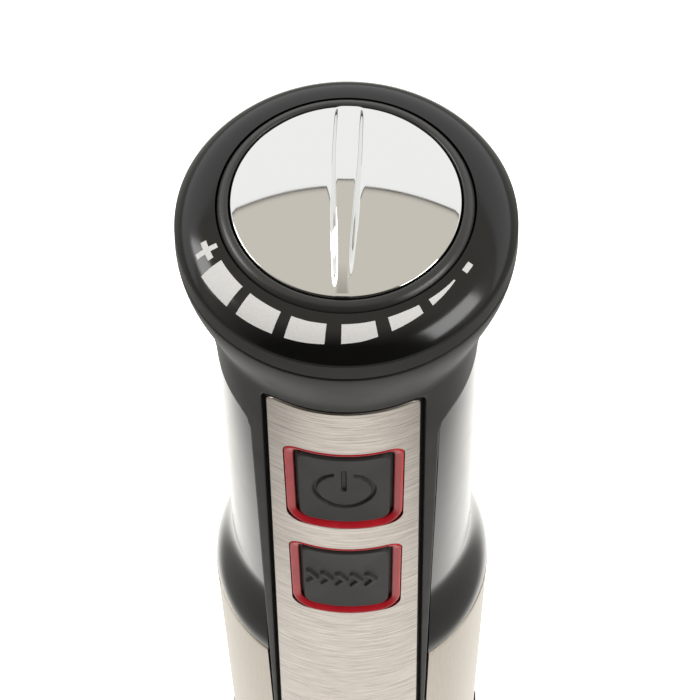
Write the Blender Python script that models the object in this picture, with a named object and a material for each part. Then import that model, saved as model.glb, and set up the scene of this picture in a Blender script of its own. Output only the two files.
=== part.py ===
"""Immersion blender: a motor handle with a speed dial, and a blending foot that pulls off.

Metres, +Z up. The blender stands on the rim of its bell guard. Its long axis is the
Z axis, the two buttons face -Y, and the origin is on the ground under the axis.
"""

import math

import bmesh
import bpy
from mathutils import Matrix

# ---- Driving dimensions ----------------------------------------------------

GAP = 0.0003                    # air between neighbouring pieces
RUNNING_GAP = 0.00015           # air between a shaft and the hole that it turns in
ROUND = 36                      # sides of a large round piece
SMALL_ROUND = 16                # sides of a small round piece

DIAL_RIM_Z = 0.415              # height of the speed dial's rim above the ground
HEAD_R = 0.0300                 # head cap
BEZEL_R = 0.0223
DIAL_R = 0.0200
DOME_RISE = 0.0032              # the dial's dome above its rim
RIB_RISE = 0.0056               # the finger rib above the rim
CAP_SEAM_Z = DIAL_RIM_Z - 0.0097
FUNNEL_TOP_R = 0.0302
FUNNEL_END_Z = DIAL_RIM_Z - 0.0370
NECK_TOP_R = 0.0246
NECK_BOTTOM_R = 0.0261
FLARE_TOP_Z = DIAL_RIM_Z - 0.1180
SHOULDER_Z = DIAL_RIM_Z - 0.1392
SHOULDER_R = 0.0309
SLEEVE_TOP_R = 0.0310
SLEEVE_BOTTOM_R = 0.0316
SLEEVE_WALL = 0.0008
SLEEVE_END_Z = DIAL_RIM_Z - 0.2295
HANDLE_END_Z = DIAL_RIM_Z - 0.2520
WALL = 0.0022                   # moulded housing wall

STRIP_RIM_R = 0.0258            # the front strip's radius, carried up to the dial's rim
STRIP_LEAN = 0.0384             # and how much it grows for each metre down
STRIP_HALF_W = 0.0177
STRIP_END_Z = DIAL_RIM_Z - 0.2030
PANEL_TOP_Z = DIAL_RIM_Z - 0.0280
PANEL_END_Z = DIAL_RIM_Z - 0.1980
PANEL_HALF_W = 0.0139           # at its top
PANEL_SPREAD = 0.0135           # how much half its width grows for each metre down
PANEL_THICK = 0.0010
PANEL_CORNER = 0.0018

FRAME_W = 0.0222                # red button frames
FRAME_H = 0.0282
FRAME_CORNER = 0.0028
FRAME_PROUD = 0.0001            # its outer edge above the panel
FRAME_SLOPE = 0.0007            # and how far its face falls inwards
BUTTON_W = 0.0174
BUTTON_H = 0.0238
BUTTON_CORNER = 0.0018
BUTTON_THICK = 0.0024
BUTTON_TRAVEL = 0.0015
BUTTON_Z = {
    "power": DIAL_RIM_Z - 0.0563,
    "turbo": DIAL_RIM_Z - 0.0933,
}
SWITCH_FRONT_Y = -0.0188
RECESS_MARGIN = 0.0009          # air round the panel in its recess
INLET_Z = DIAL_RIM_Z - 0.0540   # height of the cord inlet

MOTOR_R = 0.0250
MOTOR_TOP_Z = 0.2570
MOTOR_END_Z = 0.2050
SHAFT_R = 0.0030
BEARING_R = 0.0080
SCREW_CIRCLE_R = 0.0270
COMMUTATOR_R = 0.0075

RELEASE_Z = HANDLE_END_Z + 0.0125
RELEASE_W = 0.0120
RELEASE_H = 0.0080
RELEASE_R = 0.0325
SOCKET_R = 0.0165               # the handle's socket for the foot

TUBE_R = 0.0125
TUBE_WALL = 0.0010
TUBE_TOP_Z = HANDLE_END_Z - 0.0080
BELL_R = 0.0340
BELL_WALL = 0.0016
BELL_NECK_R = 0.0146
BELL_SKIRT_Z = 0.0160           # the bell's wall is straight below this height
BELL_CURVE_Z = 0.0540           # and its neck is straight above this one
BLADE_Z = 0.0140
BLADE_R = 0.0240

FINISHES = {
    "gloss_black": ((0.010, 0.010, 0.011), 0.08, 0.0),
    "satin_charcoal": ((0.060, 0.060, 0.058), 0.42, 0.0),
    "chrome": ((0.86, 0.86, 0.87), 0.04, 1.0),
    "red_gloss": ((0.45, 0.005, 0.020), 0.12, 0.0),
    "button_grey": ((0.045, 0.045, 0.047), 0.38, 0.0),
    "brushed_steel": ((0.62, 0.59, 0.55), 0.30, 1.0),
    "champagne_steel": ((0.66, 0.61, 0.54), 0.36, 1.0),
    "machined_steel": ((0.50, 0.50, 0.52), 0.30, 1.0),
    "copper": ((0.80, 0.40, 0.22), 0.35, 1.0),
    "carbon": ((0.03, 0.03, 0.03), 0.60, 0.0),
    "board_green": ((0.02, 0.14, 0.06), 0.45, 0.0),
    "black_rubber": ((0.015, 0.015, 0.015), 0.70, 0.0),
    "white_nylon": ((0.72, 0.72, 0.68), 0.45, 0.0),
}


# ---- Scene, finishes and bodies ---------------------------------------------

def clear_scene():
    for old in list(bpy.data.objects):
        bpy.data.objects.remove(old)


def make_finish(name):
    colour, roughness, metallic = FINISHES[name]
    finish = bpy.data.materials.new(name)
    finish.use_nodes = True
    shader = finish.node_tree.nodes["Principled BSDF"]
    shader.inputs["Base Color"].default_value = (*colour, 1.0)
    shader.inputs["Roughness"].default_value = roughness
    shader.inputs["Metallic"].default_value = metallic
    return finish


def body(name, location=(0.0, 0.0, 0.0)):
    """An empty that its body's pieces hang from, on the axis that the body moves about."""
    empty = bpy.data.objects.new(name, None)
    empty.location = location
    bpy.context.collection.objects.link(empty)
    return empty


def finish_piece(piece, finish, parent, origin=(0.0, 0.0, 0.0)):
    """Colour a piece, put its origin where it belongs and hang it from its body."""
    piece.data.transform(Matrix.Translation([-c for c in origin]))
    piece.location = origin
    piece.data.materials.clear()
    piece.data.materials.append(bpy.data.materials.get(finish) or make_finish(finish))
    piece.data.shade_smooth()
    piece.data.set_sharp_from_angle(angle=math.radians(32))
    if parent:
        piece.parent = parent
        piece.matrix_parent_inverse = Matrix.Translation(parent.location).inverted()
    return piece


# ---- Solids -------------------------------------------------------------------

def solid(name, bm):
    """Close a bmesh into an object whose faces point outwards."""
    bmesh.ops.remove_doubles(bm, verts=bm.verts, dist=1e-6)
    bmesh.ops.recalc_face_normals(bm, faces=bm.faces)
    mesh = bpy.data.meshes.new(name)
    bm.to_mesh(mesh)
    bm.free()
    piece = bpy.data.objects.new(name, mesh)
    bpy.context.collection.objects.link(piece)
    return piece


def turned(name, profile, sides=ROUND):
    """A profile of (radius, z) points turned about Z. It closes on itself, or on the axis."""
    bm = bmesh.new()
    verts = [bm.verts.new((r, 0.0, z)) for r, z in profile]
    pairs = list(zip(verts, verts[1:]))
    if profile[0][0] > 0.0 or profile[-1][0] > 0.0:
        pairs.append((verts[-1], verts[0]))
    edges = [bm.edges.new(pair) for pair in pairs]
    bmesh.ops.spin(
        bm, geom=verts + edges, cent=(0, 0, 0), axis=(0, 0, 1), dvec=(0, 0, 0),
        angle=2 * math.pi, steps=sides, use_merge=True,
    )
    return solid(name, bm)


def ring(name, inner_r, outer_r, low_z, high_z, sides=SMALL_ROUND):
    profile = [(inner_r, low_z), (outer_r, low_z), (outer_r, high_z), (inner_r, high_z)]
    return turned(name, profile, sides)


def cylinder(name, radius, low_z, high_z, sides=SMALL_ROUND):
    return turned(name, [(0.0, low_z), (radius, low_z), (radius, high_z), (0.0, high_z)], sides)


def block(name, low, high):
    bm = bmesh.new()
    size = [b - a for a, b in zip(low, high)]
    middle = [(a + b) / 2 for a, b in zip(low, high)]
    bmesh.ops.create_cube(bm, size=1.0)
    bmesh.ops.scale(bm, vec=size, verts=bm.verts)
    bmesh.ops.translate(bm, vec=middle, verts=bm.verts)
    return solid(name, bm)


def loft(name, loops, open_ends=False):
    """Bridge equal loops of points in order. The ends are capped, or joined to each other."""
    bm = bmesh.new()
    rows = [[bm.verts.new(p) for p in loop] for loop in loops]
    count = len(loops[0])
    pairs = list(zip(rows, rows[1:]))
    if open_ends:
        pairs.append((rows[-1], rows[0]))
    for lower, upper in pairs:
        for i in range(count):
            j = (i + 1) % count
            bm.faces.new((lower[i], lower[j], upper[j], upper[i]))
    if not open_ends:
        bm.faces.new(rows[0])
        bm.faces.new(rows[-1])
    return solid(name, bm)


def upright_ring(name, outer, inner, low_z, high_z):
    """An upright prism between two plan outlines with the same number of points."""
    loops = [
        [(x, y, low_z) for x, y in inner],
        [(x, y, low_z) for x, y in outer],
        [(x, y, high_z) for x, y in outer],
        [(x, y, high_z) for x, y in inner],
    ]
    return loft(name, loops, open_ends=True)


def circle(radius, count, turn=0.0):
    angles = [2 * math.pi * (i + turn) / count for i in range(count)]
    return [(radius * math.cos(a), radius * math.sin(a)) for a in angles]


def toothed(high_r, low_r, teeth, per_tooth=4):
    """A plan outline that steps between two radii, once for each tooth."""
    count = teeth * per_tooth
    radii = [high_r if i % per_tooth < per_tooth / 2 else low_r for i in range(count)]
    angles = [2 * math.pi * (i + 0.5) / count for i in range(count)]
    return [(r * math.cos(a), r * math.sin(a)) for r, a in zip(radii, angles)]


def rounded_rectangle(width, height, corner, steps=3, across=5):
    """Points (x, z) round a rectangle whose corners are arcs, with more along its top and foot."""
    points = []
    for quarter, (sx, sz) in enumerate(((1, 1), (-1, 1), (-1, -1), (1, -1))):
        for i in range(steps + 1):
            angle = math.pi / 2 * (quarter + i / steps)
            x = sx * (width / 2 - corner) + corner * math.cos(angle)
            z = sz * (height / 2 - corner) + corner * math.sin(angle)
            points.append((x, z))
        if quarter in (0, 2):
            x, z = points[-1]
            points += [(x * (1 - 2 * i / across), z) for i in range(1, across)]
    return points


def combine(piece, tool, operation):
    """Cut a tool out of a piece, keep only what they share, or join them."""
    modifier = piece.modifiers.new(operation.lower(), "BOOLEAN")
    modifier.operation = operation
    modifier.solver = "EXACT"
    modifier.object = tool
    graph = bpy.context.evaluated_depsgraph_get()
    mesh = bpy.data.meshes.new_from_object(piece.evaluated_get(graph))
    piece.modifiers.remove(modifier)
    piece.data = mesh
    bpy.data.objects.remove(tool)
    return piece


def cut(piece, tool):
    return combine(piece, tool, "DIFFERENCE")


def join(piece, tool):
    return combine(piece, tool, "UNION")


def along_y(piece, centre_z):
    """Lay a piece that was turned about Z along +Y, at the given height."""
    piece.data.transform(Matrix.Rotation(-math.pi / 2, 4, "X"))
    piece.data.transform(Matrix.Translation((0.0, 0.0, centre_z)))
    return piece


# ---- The handle's own surfaces --------------------------------------------------

def smooth_step(t):
    t = min(max(t, 0.0), 1.0)
    return t * t * (3 - 2 * t)


def funnel_radius(z):
    """Radius of the collar under the head, which draws in along an S-curve."""
    left = max(0.0, (z - FUNNEL_END_Z) / (CAP_SEAM_Z - FUNNEL_END_Z))
    return NECK_TOP_R + (FUNNEL_TOP_R - NECK_TOP_R) * smooth_step(left ** 1.1)


def neck_radius(z):
    """Radius of the neck, which widens evenly downwards."""
    fall = (FUNNEL_END_Z - z) / (FUNNEL_END_Z - FLARE_TOP_Z)
    return NECK_TOP_R + (NECK_BOTTOM_R - NECK_TOP_R) * max(0.0, fall)


def housing_radius(z):
    """The neck, with the flare that carries it out to the shoulder."""
    part = smooth_step((FLARE_TOP_Z - z) / (FLARE_TOP_Z - SHOULDER_Z))
    return neck_radius(z) + (SHOULDER_R - neck_radius(SHOULDER_Z)) * part


def strip_radius(z):
    """Outer radius of the front strip, which leans out towards its lower end."""
    return STRIP_RIM_R + STRIP_LEAN * (DIAL_RIM_Z - z)


def strip_half_width(z):
    """The strip is straight-sided, and flares into the collar at its top."""
    rise = smooth_step((z - (FUNNEL_END_Z - 0.006)) / 0.006)
    return STRIP_HALF_W + 0.0045 * rise


def panel_half_width(z):
    return PANEL_HALF_W + PANEL_SPREAD * (PANEL_TOP_Z - z)


def levels(low, high, count):
    return [low + (high - low) * i / (count - 1) for i in range(count)]


def curved_block(name, half_width, rows, inner_r, outer_r, columns=8):
    """A block on the handle's front, between two radii that may change with height."""
    loops = []
    for z in rows:
        across = [half_width(z) * (2 * i / columns - 1) for i in range(columns + 1)]
        front = [(x, -math.sqrt(outer_r(z) ** 2 - x * x), z) for x in across]
        back = [(x, -math.sqrt(inner_r(z) ** 2 - x * x), z) for x in reversed(across)]
        loops.append(front + back)
    return loft(name, loops)


def panel_outline(margin):
    """Rows and half widths of the steel panel, grown by a margin, with round top corners."""
    top = PANEL_TOP_Z + margin
    low = PANEL_END_Z - margin
    corner = PANEL_CORNER + margin
    bends = [corner * (1 - math.cos(math.pi / 2 * i / 3)) for i in range(3)]
    rows = [low + b for b in bends] + [low + corner, top - corner] + [top - b for b in reversed(bends)]

    def half_width(z):
        inset = max(0.0, corner - min(z - low, top - z))
        return panel_half_width(z) + margin - corner + math.sqrt(max(0.0, corner ** 2 - inset ** 2))

    return rows, half_width


def front_prism(name, width, height, corner, centre_z, back_y, front_y):
    """A rounded block that reaches through the handle's front along Y."""
    outline = rounded_rectangle(width, height, corner)
    loops = [[(x, y, centre_z + z) for x, z in outline] for y in (back_y, front_y)]
    return loft(name, loops)


def front_point(x, z, radius):
    return (x, -math.sqrt(radius ** 2 - x * x), z)


# ---- Head and speed dial ----------------------------------------------------------

def head_cap(parent):
    """Glossy ring that slopes out from the bezel and rounds over into a short side."""
    start = (BEZEL_R + GAP, DIAL_RIM_Z - 0.0009)
    bend = (0.0276, DIAL_RIM_Z - 0.0014)
    end = (HEAD_R, DIAL_RIM_Z - 0.0056)
    profile = []
    for i in range(7):
        t = i / 6
        weights = ((1 - t) ** 2, 2 * t * (1 - t), t * t)
        profile.append(tuple(
            sum(w * p[axis] for w, p in zip(weights, (start, bend, end))) for axis in (0, 1)
        ))
    inner_r = HEAD_R - WALL
    profile += [
        (FUNNEL_TOP_R, CAP_SEAM_Z),
        (inner_r, CAP_SEAM_Z),
        (inner_r, DIAL_RIM_Z - 0.0066),
        (start[0], DIAL_RIM_Z - 0.0040),
    ]
    return finish_piece(turned("head_cap", profile), "gloss_black", parent)


def dial_bezel(parent):
    """Cup in the head: its rim frames the dial, and its floor holds the potentiometer."""
    floor_z = DIAL_RIM_Z - 0.0080
    bore_r = 0.0043
    profile = [
        (BEZEL_R, floor_z),
        (BEZEL_R, DIAL_RIM_Z - 0.0011),
        (BEZEL_R - 0.0006, DIAL_RIM_Z - 0.0003),
        (DIAL_R + 0.0008, DIAL_RIM_Z + 0.0001),
        (DIAL_R + GAP, DIAL_RIM_Z - 0.0001),
        (DIAL_R + GAP, floor_z + 0.0018),
        (bore_r, floor_z + 0.0018),
        (bore_r, floor_z),
    ]
    return finish_piece(turned("dial_bezel", profile), "gloss_black", parent)


def dome_height(radius):
    """Height of the dial's dome above its rim plane: part of a sphere."""
    return DOME_RISE * (1 - (radius / DIAL_R) ** 2)


def finger_rib():
    """A drafted bar across the dial, wide behind the middle and narrow at the pointer."""
    loops = []
    for i in range(7):
        t = i / 6
        y = (DIAL_R - 0.0002) * (1 - 2 * t)
        top_half = 0.0019 - 0.0013 * smooth_step((t - 0.3) / 0.7)
        foot_half = top_half + 0.0009
        crest = max(0.0004, RIB_RISE * (1 - (y / DIAL_R) ** 2)) + DIAL_RIM_Z
        low = DIAL_RIM_Z - 0.0010
        loops.append([(-foot_half, y, low), (foot_half, y, low), (top_half, y, crest), (-top_half, y, crest)])
    return loft("rib", loops)


def speed_dial(parent):
    """Chromed knob: a shallow dome with a finger rib, hollow below round a boss."""
    under_z = DIAL_RIM_Z - 0.0054
    roof_z = DIAL_RIM_Z - 0.0006
    boss_r = 0.0056
    bore_r = SHAFT_R + GAP
    radii = [DIAL_R * i / 5 for i in range(6)]
    profile = [(r, DIAL_RIM_Z + dome_height(r)) for r in radii]
    profile += [
        (DIAL_R, under_z),
        (DIAL_R - 0.0020, under_z),
        (DIAL_R - 0.0020, roof_z),
        (boss_r, roof_z),
        (boss_r, under_z),
        (bore_r, under_z),
        (bore_r, DIAL_RIM_Z - 0.0012),
        (0.0, DIAL_RIM_Z - 0.0012),
    ]
    dial = join(turned("speed_dial", profile), finger_rib())
    return finish_piece(dial, "chrome", parent)


def dial_stem(parent):
    """Shaft of the potentiometer, which the dial turns."""
    stem = cylinder("dial_stem", SHAFT_R, DIAL_RIM_Z - 0.0130, DIAL_RIM_Z - 0.0015)
    return finish_piece(stem, "machined_steel", parent)


def potentiometer(parent):
    """Speed control under the bezel's floor, with a bushing up through it."""
    bore_r = SHAFT_R + GAP
    can_top = DIAL_RIM_Z - 0.0083
    profile = [
        (0.0, can_top - 0.0075),
        (0.0082, can_top - 0.0075),
        (0.0082, can_top),
        (0.0040, can_top),
        (0.0040, DIAL_RIM_Z - 0.0058),
        (bore_r, DIAL_RIM_Z - 0.0058),
        (bore_r, DIAL_RIM_Z - 0.0135),
        (0.0, DIAL_RIM_Z - 0.0135),
    ]
    return finish_piece(turned("potentiometer", profile, SMALL_ROUND), "machined_steel", parent)


# ---- Front: collar and strip, steel panel, frames and buttons ------------------------

def front_fascia(parent):
    """Satin collar under the head, with the raised strip that holds the panel."""
    top = CAP_SEAM_Z - 0.0006
    inner_r = NECK_TOP_R - 0.0015
    rows = levels(FUNNEL_END_Z, top, 7)
    profile = [(funnel_radius(z), z) for z in rows] + [(inner_r, top), (inner_r, FUNNEL_END_Z)]
    fascia = turned("front_fascia", profile)
    strip_rows = [STRIP_END_Z, SHOULDER_Z] + levels(FUNNEL_END_Z - 0.006, FUNNEL_END_Z, 5)
    strip_rows.append(FUNNEL_END_Z + 0.018)
    strip = curved_block(
        "strip", strip_half_width, strip_rows, lambda z: neck_radius(z) + GAP, strip_radius,
    )
    pocket = curved_block(
        "pocket", lambda z: STRIP_HALF_W - 0.0020, [STRIP_END_Z + 0.002, FUNNEL_END_Z - 0.003],
        lambda z: neck_radius(z) - 0.002, lambda z: strip_radius(z) - PANEL_THICK - 0.0020,
    )
    panel_rows, panel_width = panel_outline(RECESS_MARGIN)
    recess = curved_block(
        "recess", panel_width, panel_rows,
        lambda z: strip_radius(z) - PANEL_THICK - GAP, lambda z: strip_radius(z) + 0.004,
    )
    fascia = join(fascia, cut(strip, pocket))
    fascia = cut(fascia, recess)
    for centre_z in BUTTON_Z.values():
        fascia = cut(fascia, button_window(centre_z))
    return finish_piece(fascia, "satin_charcoal", parent)


def button_window(centre_z):
    """The opening that a button's body moves in, through the fascia and the housing."""
    room = 2 * GAP
    return front_prism(
        "window", BUTTON_W + room, BUTTON_H + room, BUTTON_CORNER, centre_z, -0.019, -0.034,
    )


def button_panel(parent):
    """Curved brushed steel plate in the fascia's recess, with a hole for each frame."""
    rows, half_width = panel_outline(0.0)
    panel = curved_block(
        "button_panel", half_width, rows, lambda z: strip_radius(z) - PANEL_THICK, strip_radius,
    )
    for centre_z in BUTTON_Z.values():
        room = 2 * GAP
        hole = front_prism(
            "hole", FRAME_W + room, FRAME_H + room, FRAME_CORNER, centre_z, -0.019, -0.036,
        )
        panel = cut(panel, hole)
    return finish_piece(panel, "brushed_steel", parent)


def button_frame(name, parent):
    """Glossy red surround, flush with the panel outside and lower round the button."""
    centre_z = BUTTON_Z[name]
    outer = rounded_rectangle(FRAME_W, FRAME_H, FRAME_CORNER)
    room = 4 * GAP
    inner = rounded_rectangle(BUTTON_W + room, BUTTON_H + room, BUTTON_CORNER)
    back = strip_radius(centre_z) - PANEL_THICK
    front = strip_radius(centre_z) + FRAME_PROUD
    front_inner = front - FRAME_SLOPE

    def loop(outline, radius):
        lean = STRIP_LEAN
        return [front_point(x, centre_z + z, radius - lean * z) for x, z in outline]

    loops = [loop(inner, back), loop(outer, back), loop(outer, front), loop(inner, front_inner)]
    frame = loft(name + "_frame", loops, open_ends=True)
    return finish_piece(frame, "red_gloss", parent)


def push_button(name, parent):
    """Button cap whose face follows the panel, on a stem that reaches for its switch."""
    centre_z = BUTTON_Z[name]
    outline = rounded_rectangle(BUTTON_W, BUTTON_H, BUTTON_CORNER)
    front_r = strip_radius(centre_z) - 0.0002
    back_y = -(front_r - BUTTON_THICK)
    loops = [[(x, back_y + 0.0008, centre_z + z) for x, z in outline]]
    for scale in (1.0, 0.66, 0.33):
        loops.append([
            front_point(x * scale, centre_z + z * scale, front_r - STRIP_LEAN * z * scale)
            for x, z in outline
        ])
    cap = loft(name + "_button", loops)
    stem_back = SWITCH_FRONT_Y - BUTTON_TRAVEL - GAP
    stem = block("stem", (-0.003, back_y, centre_z - 0.004), (0.003, stem_back, centre_z + 0.004))
    cap = join(cap, stem)
    return finish_piece(cap, "button_grey", parent, (0.0, back_y, centre_z))


def tact_switch(name, parent):
    """Push switch soldered to the board behind its button."""
    centre_z = BUTTON_Z[name]
    base = block(
        name + "_switch", (-0.0032, -0.0178, centre_z - 0.0032), (0.0032, -0.0157, centre_z + 0.0032),
    )
    plunger = along_y(cylinder("plunger", 0.0016, 0.0157, -SWITCH_FRONT_Y, 12), 0.0)
    plunger.data.transform(Matrix.Rotation(math.pi, 4, "Z"))
    plunger.data.transform(Matrix.Translation((0.0, 0.0, centre_z)))
    return finish_piece(join(base, plunger), "carbon", parent)


def circuit_board(parent):
    low = (-0.0120, -0.0154, DIAL_RIM_Z - 0.1120)
    high = (0.0120, -0.0138, DIAL_RIM_Z - 0.0400)
    return finish_piece(block("circuit_board", low, high), "board_green", parent)


# ---- Housing halves and lower sleeve ---------------------------------------------------

def housing_shell(side):
    """Half of the upper housing: spigot, neck, flare and lower spigot, then its openings."""
    spigot_r = NECK_TOP_R - 0.0015 - GAP
    sleeve_spigot_r = SLEEVE_TOP_R - SLEEVE_WALL - GAP - 0.0001
    end_z = SHOULDER_Z - 0.0110
    flare = levels(FLARE_TOP_Z, SHOULDER_Z, 7)
    outside = [(spigot_r, CAP_SEAM_Z - 0.0016), (spigot_r, FUNNEL_END_Z - GAP)]
    outside += [(neck_radius(FUNNEL_END_Z), FUNNEL_END_Z - GAP)]
    outside += [(housing_radius(z), z) for z in flare]
    outside += [(sleeve_spigot_r, SHOULDER_Z), (sleeve_spigot_r, end_z)]
    inside = [(sleeve_spigot_r - WALL, end_z), (sleeve_spigot_r - WALL, SHOULDER_Z - 0.002)]
    inside += [(housing_radius(z) - WALL, z) for z in reversed(flare[:-1:2])]
    inside.append((NECK_TOP_R - WALL, FUNNEL_END_Z - 0.0060))
    inside += [(spigot_r - WALL, FUNNEL_END_Z - 0.0040), (spigot_r - WALL, CAP_SEAM_Z - 0.0016)]
    loops = []
    for angle in levels(-math.pi / 2, math.pi / 2, ROUND // 2 + 1):
        across = side * math.cos(angle)
        loops.append([(r * across + side * GAP / 2, r * math.sin(angle), z) for r, z in outside + inside])
    shell = loft("shell", loops)
    channel = curved_block(
        "channel", lambda z: strip_half_width(z) + GAP, [STRIP_END_Z - 0.010]
        + levels(FUNNEL_END_Z - 0.006, FUNNEL_END_Z, 5) + [FUNNEL_END_Z + 0.001],
        lambda z: neck_radius(z) + GAP / 2, lambda z: strip_radius(z) + 0.006,
    )
    shell = cut(shell, channel)
    for centre_z in BUTTON_Z.values():
        shell = cut(shell, button_window(centre_z))
    inlet = along_y(cylinder("inlet", 0.0055, 0.0150, 0.0320), INLET_Z)
    return cut(shell, inlet)


def housing_half(name, side, parent):
    """One moulded half. The halves meet under the strip in front and in a line behind."""
    half = housing_shell(side)
    half.name = name
    return finish_piece(half, "gloss_black", parent)


def sleeve_radius(z):
    fall = (SHOULDER_Z - z) / (SHOULDER_Z - SLEEVE_END_Z)
    return SLEEVE_TOP_R + (SLEEVE_BOTTOM_R - SLEEVE_TOP_R) * fall


def steel_sleeve(parent):
    """Thin steel shell round the motor, slotted in front for the strip."""
    top = SHOULDER_Z - GAP
    profile = [(sleeve_radius(SLEEVE_END_Z), SLEEVE_END_Z), (sleeve_radius(top), top)]
    profile += [(r - SLEEVE_WALL, z) for r, z in reversed(profile)]
    sleeve = turned("steel_sleeve", profile)
    slot = block(
        "slot", (-STRIP_HALF_W - GAP, -0.040, STRIP_END_Z - GAP), (STRIP_HALF_W + GAP, 0.0, 0.30),
    )
    return finish_piece(cut(sleeve, slot), "champagne_steel", parent)


def bottom_collar(parent):
    """Black collar that closes the handle, with the foot's socket in its middle."""
    top = SLEEVE_END_Z - GAP
    spigot_r = SLEEVE_BOTTOM_R - SLEEVE_WALL - GAP
    floor_z = HANDLE_END_Z + 0.0025
    outer_r = SLEEVE_BOTTOM_R - 0.0002
    profile = [
        (spigot_r, top + 0.0060),
        (spigot_r, top),
        (outer_r, top),
        (outer_r, HANDLE_END_Z + 0.0060),
        (outer_r - 0.0010, HANDLE_END_Z + 0.0030),
        (outer_r - 0.0035, HANDLE_END_Z + 0.0006),
        (outer_r - 0.0060, HANDLE_END_Z),
        (SOCKET_R, HANDLE_END_Z),
        (SOCKET_R, HANDLE_END_Z + 0.0150),
        (SOCKET_R + 0.0020, HANDLE_END_Z + 0.0150),
        (SOCKET_R + 0.0020, floor_z),
        (spigot_r - WALL - 0.0020, floor_z),
        (spigot_r - WALL, HANDLE_END_Z + 0.0060),
        (spigot_r - WALL, top + 0.0060),
    ]
    collar = turned("bottom_collar", profile)
    window = block(
        "window", (-0.040, -RELEASE_W / 2 - GAP, RELEASE_Z - RELEASE_H / 2 - GAP),
        (0.040, RELEASE_W / 2 + GAP, RELEASE_Z + RELEASE_H / 2 + GAP),
    )
    keep = cylinder("keep", SOCKET_R + 0.0060, 0.0, 0.3, 32)
    return finish_piece(cut(collar, cut(window, keep)), "gloss_black", parent)


def release_button(name, side, parent):
    """Side button that frees the foot: a ribbed pad, a flange behind the wall and a tongue."""
    half_w = RELEASE_W / 2
    half_h = RELEASE_H / 2
    inner_wall = SLEEVE_BOTTOM_R - SLEEVE_WALL - GAP - WALL
    flange_out = inner_wall - 0.0022
    pad = block("pad", (flange_out - 0.001, -half_w, -half_h), (RELEASE_R - 0.0008, half_w, half_h))
    for i in range(3):
        z = (i - 1) * 0.0024
        rib = block("rib", (RELEASE_R - 0.0020, -half_w + 0.001, z - 0.0006),
                    (RELEASE_R, half_w - 0.001, z + 0.0006))
        pad = join(pad, rib)
    flange = block("flange", (flange_out - 0.0016, -half_w - 0.002, -half_h - 0.002),
                   (flange_out, half_w + 0.002, half_h + 0.002))
    tongue = block("tongue", (SOCKET_R + 0.0050, -0.0025, -0.0015),
                   (flange_out - 0.0010, 0.0025, 0.0015))
    button = join(join(pad, flange), tongue)
    button.name = name
    if side < 0:
        button.data.transform(Matrix.Rotation(math.pi, 4, "Z"))
    button.data.transform(Matrix.Translation((0.0, 0.0, RELEASE_Z)))
    return finish_piece(button, "satin_charcoal", parent, (side * flange_out, 0.0, RELEASE_Z))


# ---- Cord inlet -----------------------------------------------------------------------

def cord_gland(parent):
    """Rubber ring that lines the cord inlet in the back of the neck."""
    profile = [
        (0.0034, 0.0178),
        (0.0068, 0.0178),
        (0.0068, 0.0206),
        (0.0052, 0.0206),
        (0.0052, 0.0251),
        (0.0070, 0.0251),
        (0.0066, 0.0272),
        (0.0050, 0.0292),
        (0.0034, 0.0292),
    ]
    gland = along_y(turned("cord_gland", profile, SMALL_ROUND), INLET_Z)
    return finish_piece(gland, "black_rubber", parent)


def cord_clamp(parent):
    """Nylon bar that grips the cord inside the housing."""
    low = (-0.0090, 0.0100, INLET_Z - 0.0035)
    high = (0.0090, 0.0150, INLET_Z + 0.0035)
    clamp = block("cord_clamp", low, high)
    groove = along_y(cylinder("groove", 0.0032, 0.0, 0.030), INLET_Z - 0.0020)
    return finish_piece(cut(clamp, groove), "white_nylon", parent)


# ---- Motor ------------------------------------------------------------------------------

def motor_can(parent):
    can = ring("motor_can", MOTOR_R - 0.0020, MOTOR_R, MOTOR_END_Z, MOTOR_TOP_Z, 36)
    return finish_piece(can, "machined_steel", parent)


def motor_magnet(name, side, parent):
    """Curved magnet glued inside the motor can."""
    outer_r = MOTOR_R - 0.0020 - GAP
    inner_r = outer_r - 0.0040
    angles = [math.radians(a) for a in levels(-62, 62, 9)]
    outline = [(outer_r * math.cos(a), outer_r * math.sin(a)) for a in angles]
    outline += [(inner_r * math.cos(a), inner_r * math.sin(a)) for a in reversed(angles)]
    loops = [[(side * x, y, z) for x, y in outline] for z in (MOTOR_END_Z + 0.006, MOTOR_TOP_Z - 0.014)]
    return finish_piece(loft(name, loops), "carbon", parent)


def motor_endcap(parent):
    """Plate that closes the can at the commutator end and holds the upper bearing."""
    low_z = MOTOR_TOP_Z + GAP
    cap = ring("motor_endcap", BEARING_R + GAP, MOTOR_R + 0.0010, low_z, low_z + 0.0047, ROUND)
    return finish_piece(cap, "white_nylon", parent)


def motor_base(parent):
    """Plate below the motor: it holds the lower bearing and sits in the sleeve."""
    top = MOTOR_END_Z - GAP
    base = ring("motor_base", BEARING_R + GAP, 0.0290, top - 0.0050, top, 36)
    for side in (-1, 1):
        hole = cylinder("hole", 0.0018, top - 0.0100, top + 0.0100, 12)
        hole.data.transform(Matrix.Translation((0.0, side * SCREW_CIRCLE_R, 0.0)))
        base = cut(base, hole)
    return finish_piece(base, "white_nylon", parent)


def motor_screw(name, side, parent):
    """Screw that holds the base plate: a head below it and a shank up beside the can."""
    top = MOTOR_END_Z - GAP
    head_z = top - 0.0050 - GAP
    profile = [
        (0.0, head_z - 0.0020),
        (0.0026, head_z - 0.0020),
        (0.0026, head_z),
        (0.0014, head_z),
        (0.0014, top + 0.0060),
        (0.0, top + 0.0070),
    ]
    screw = turned(name, profile, 12)
    place = Matrix.Translation((0.0, side * SCREW_CIRCLE_R, 0.0))
    screw.data.transform(place)
    return finish_piece(screw, "machined_steel", parent)


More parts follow.
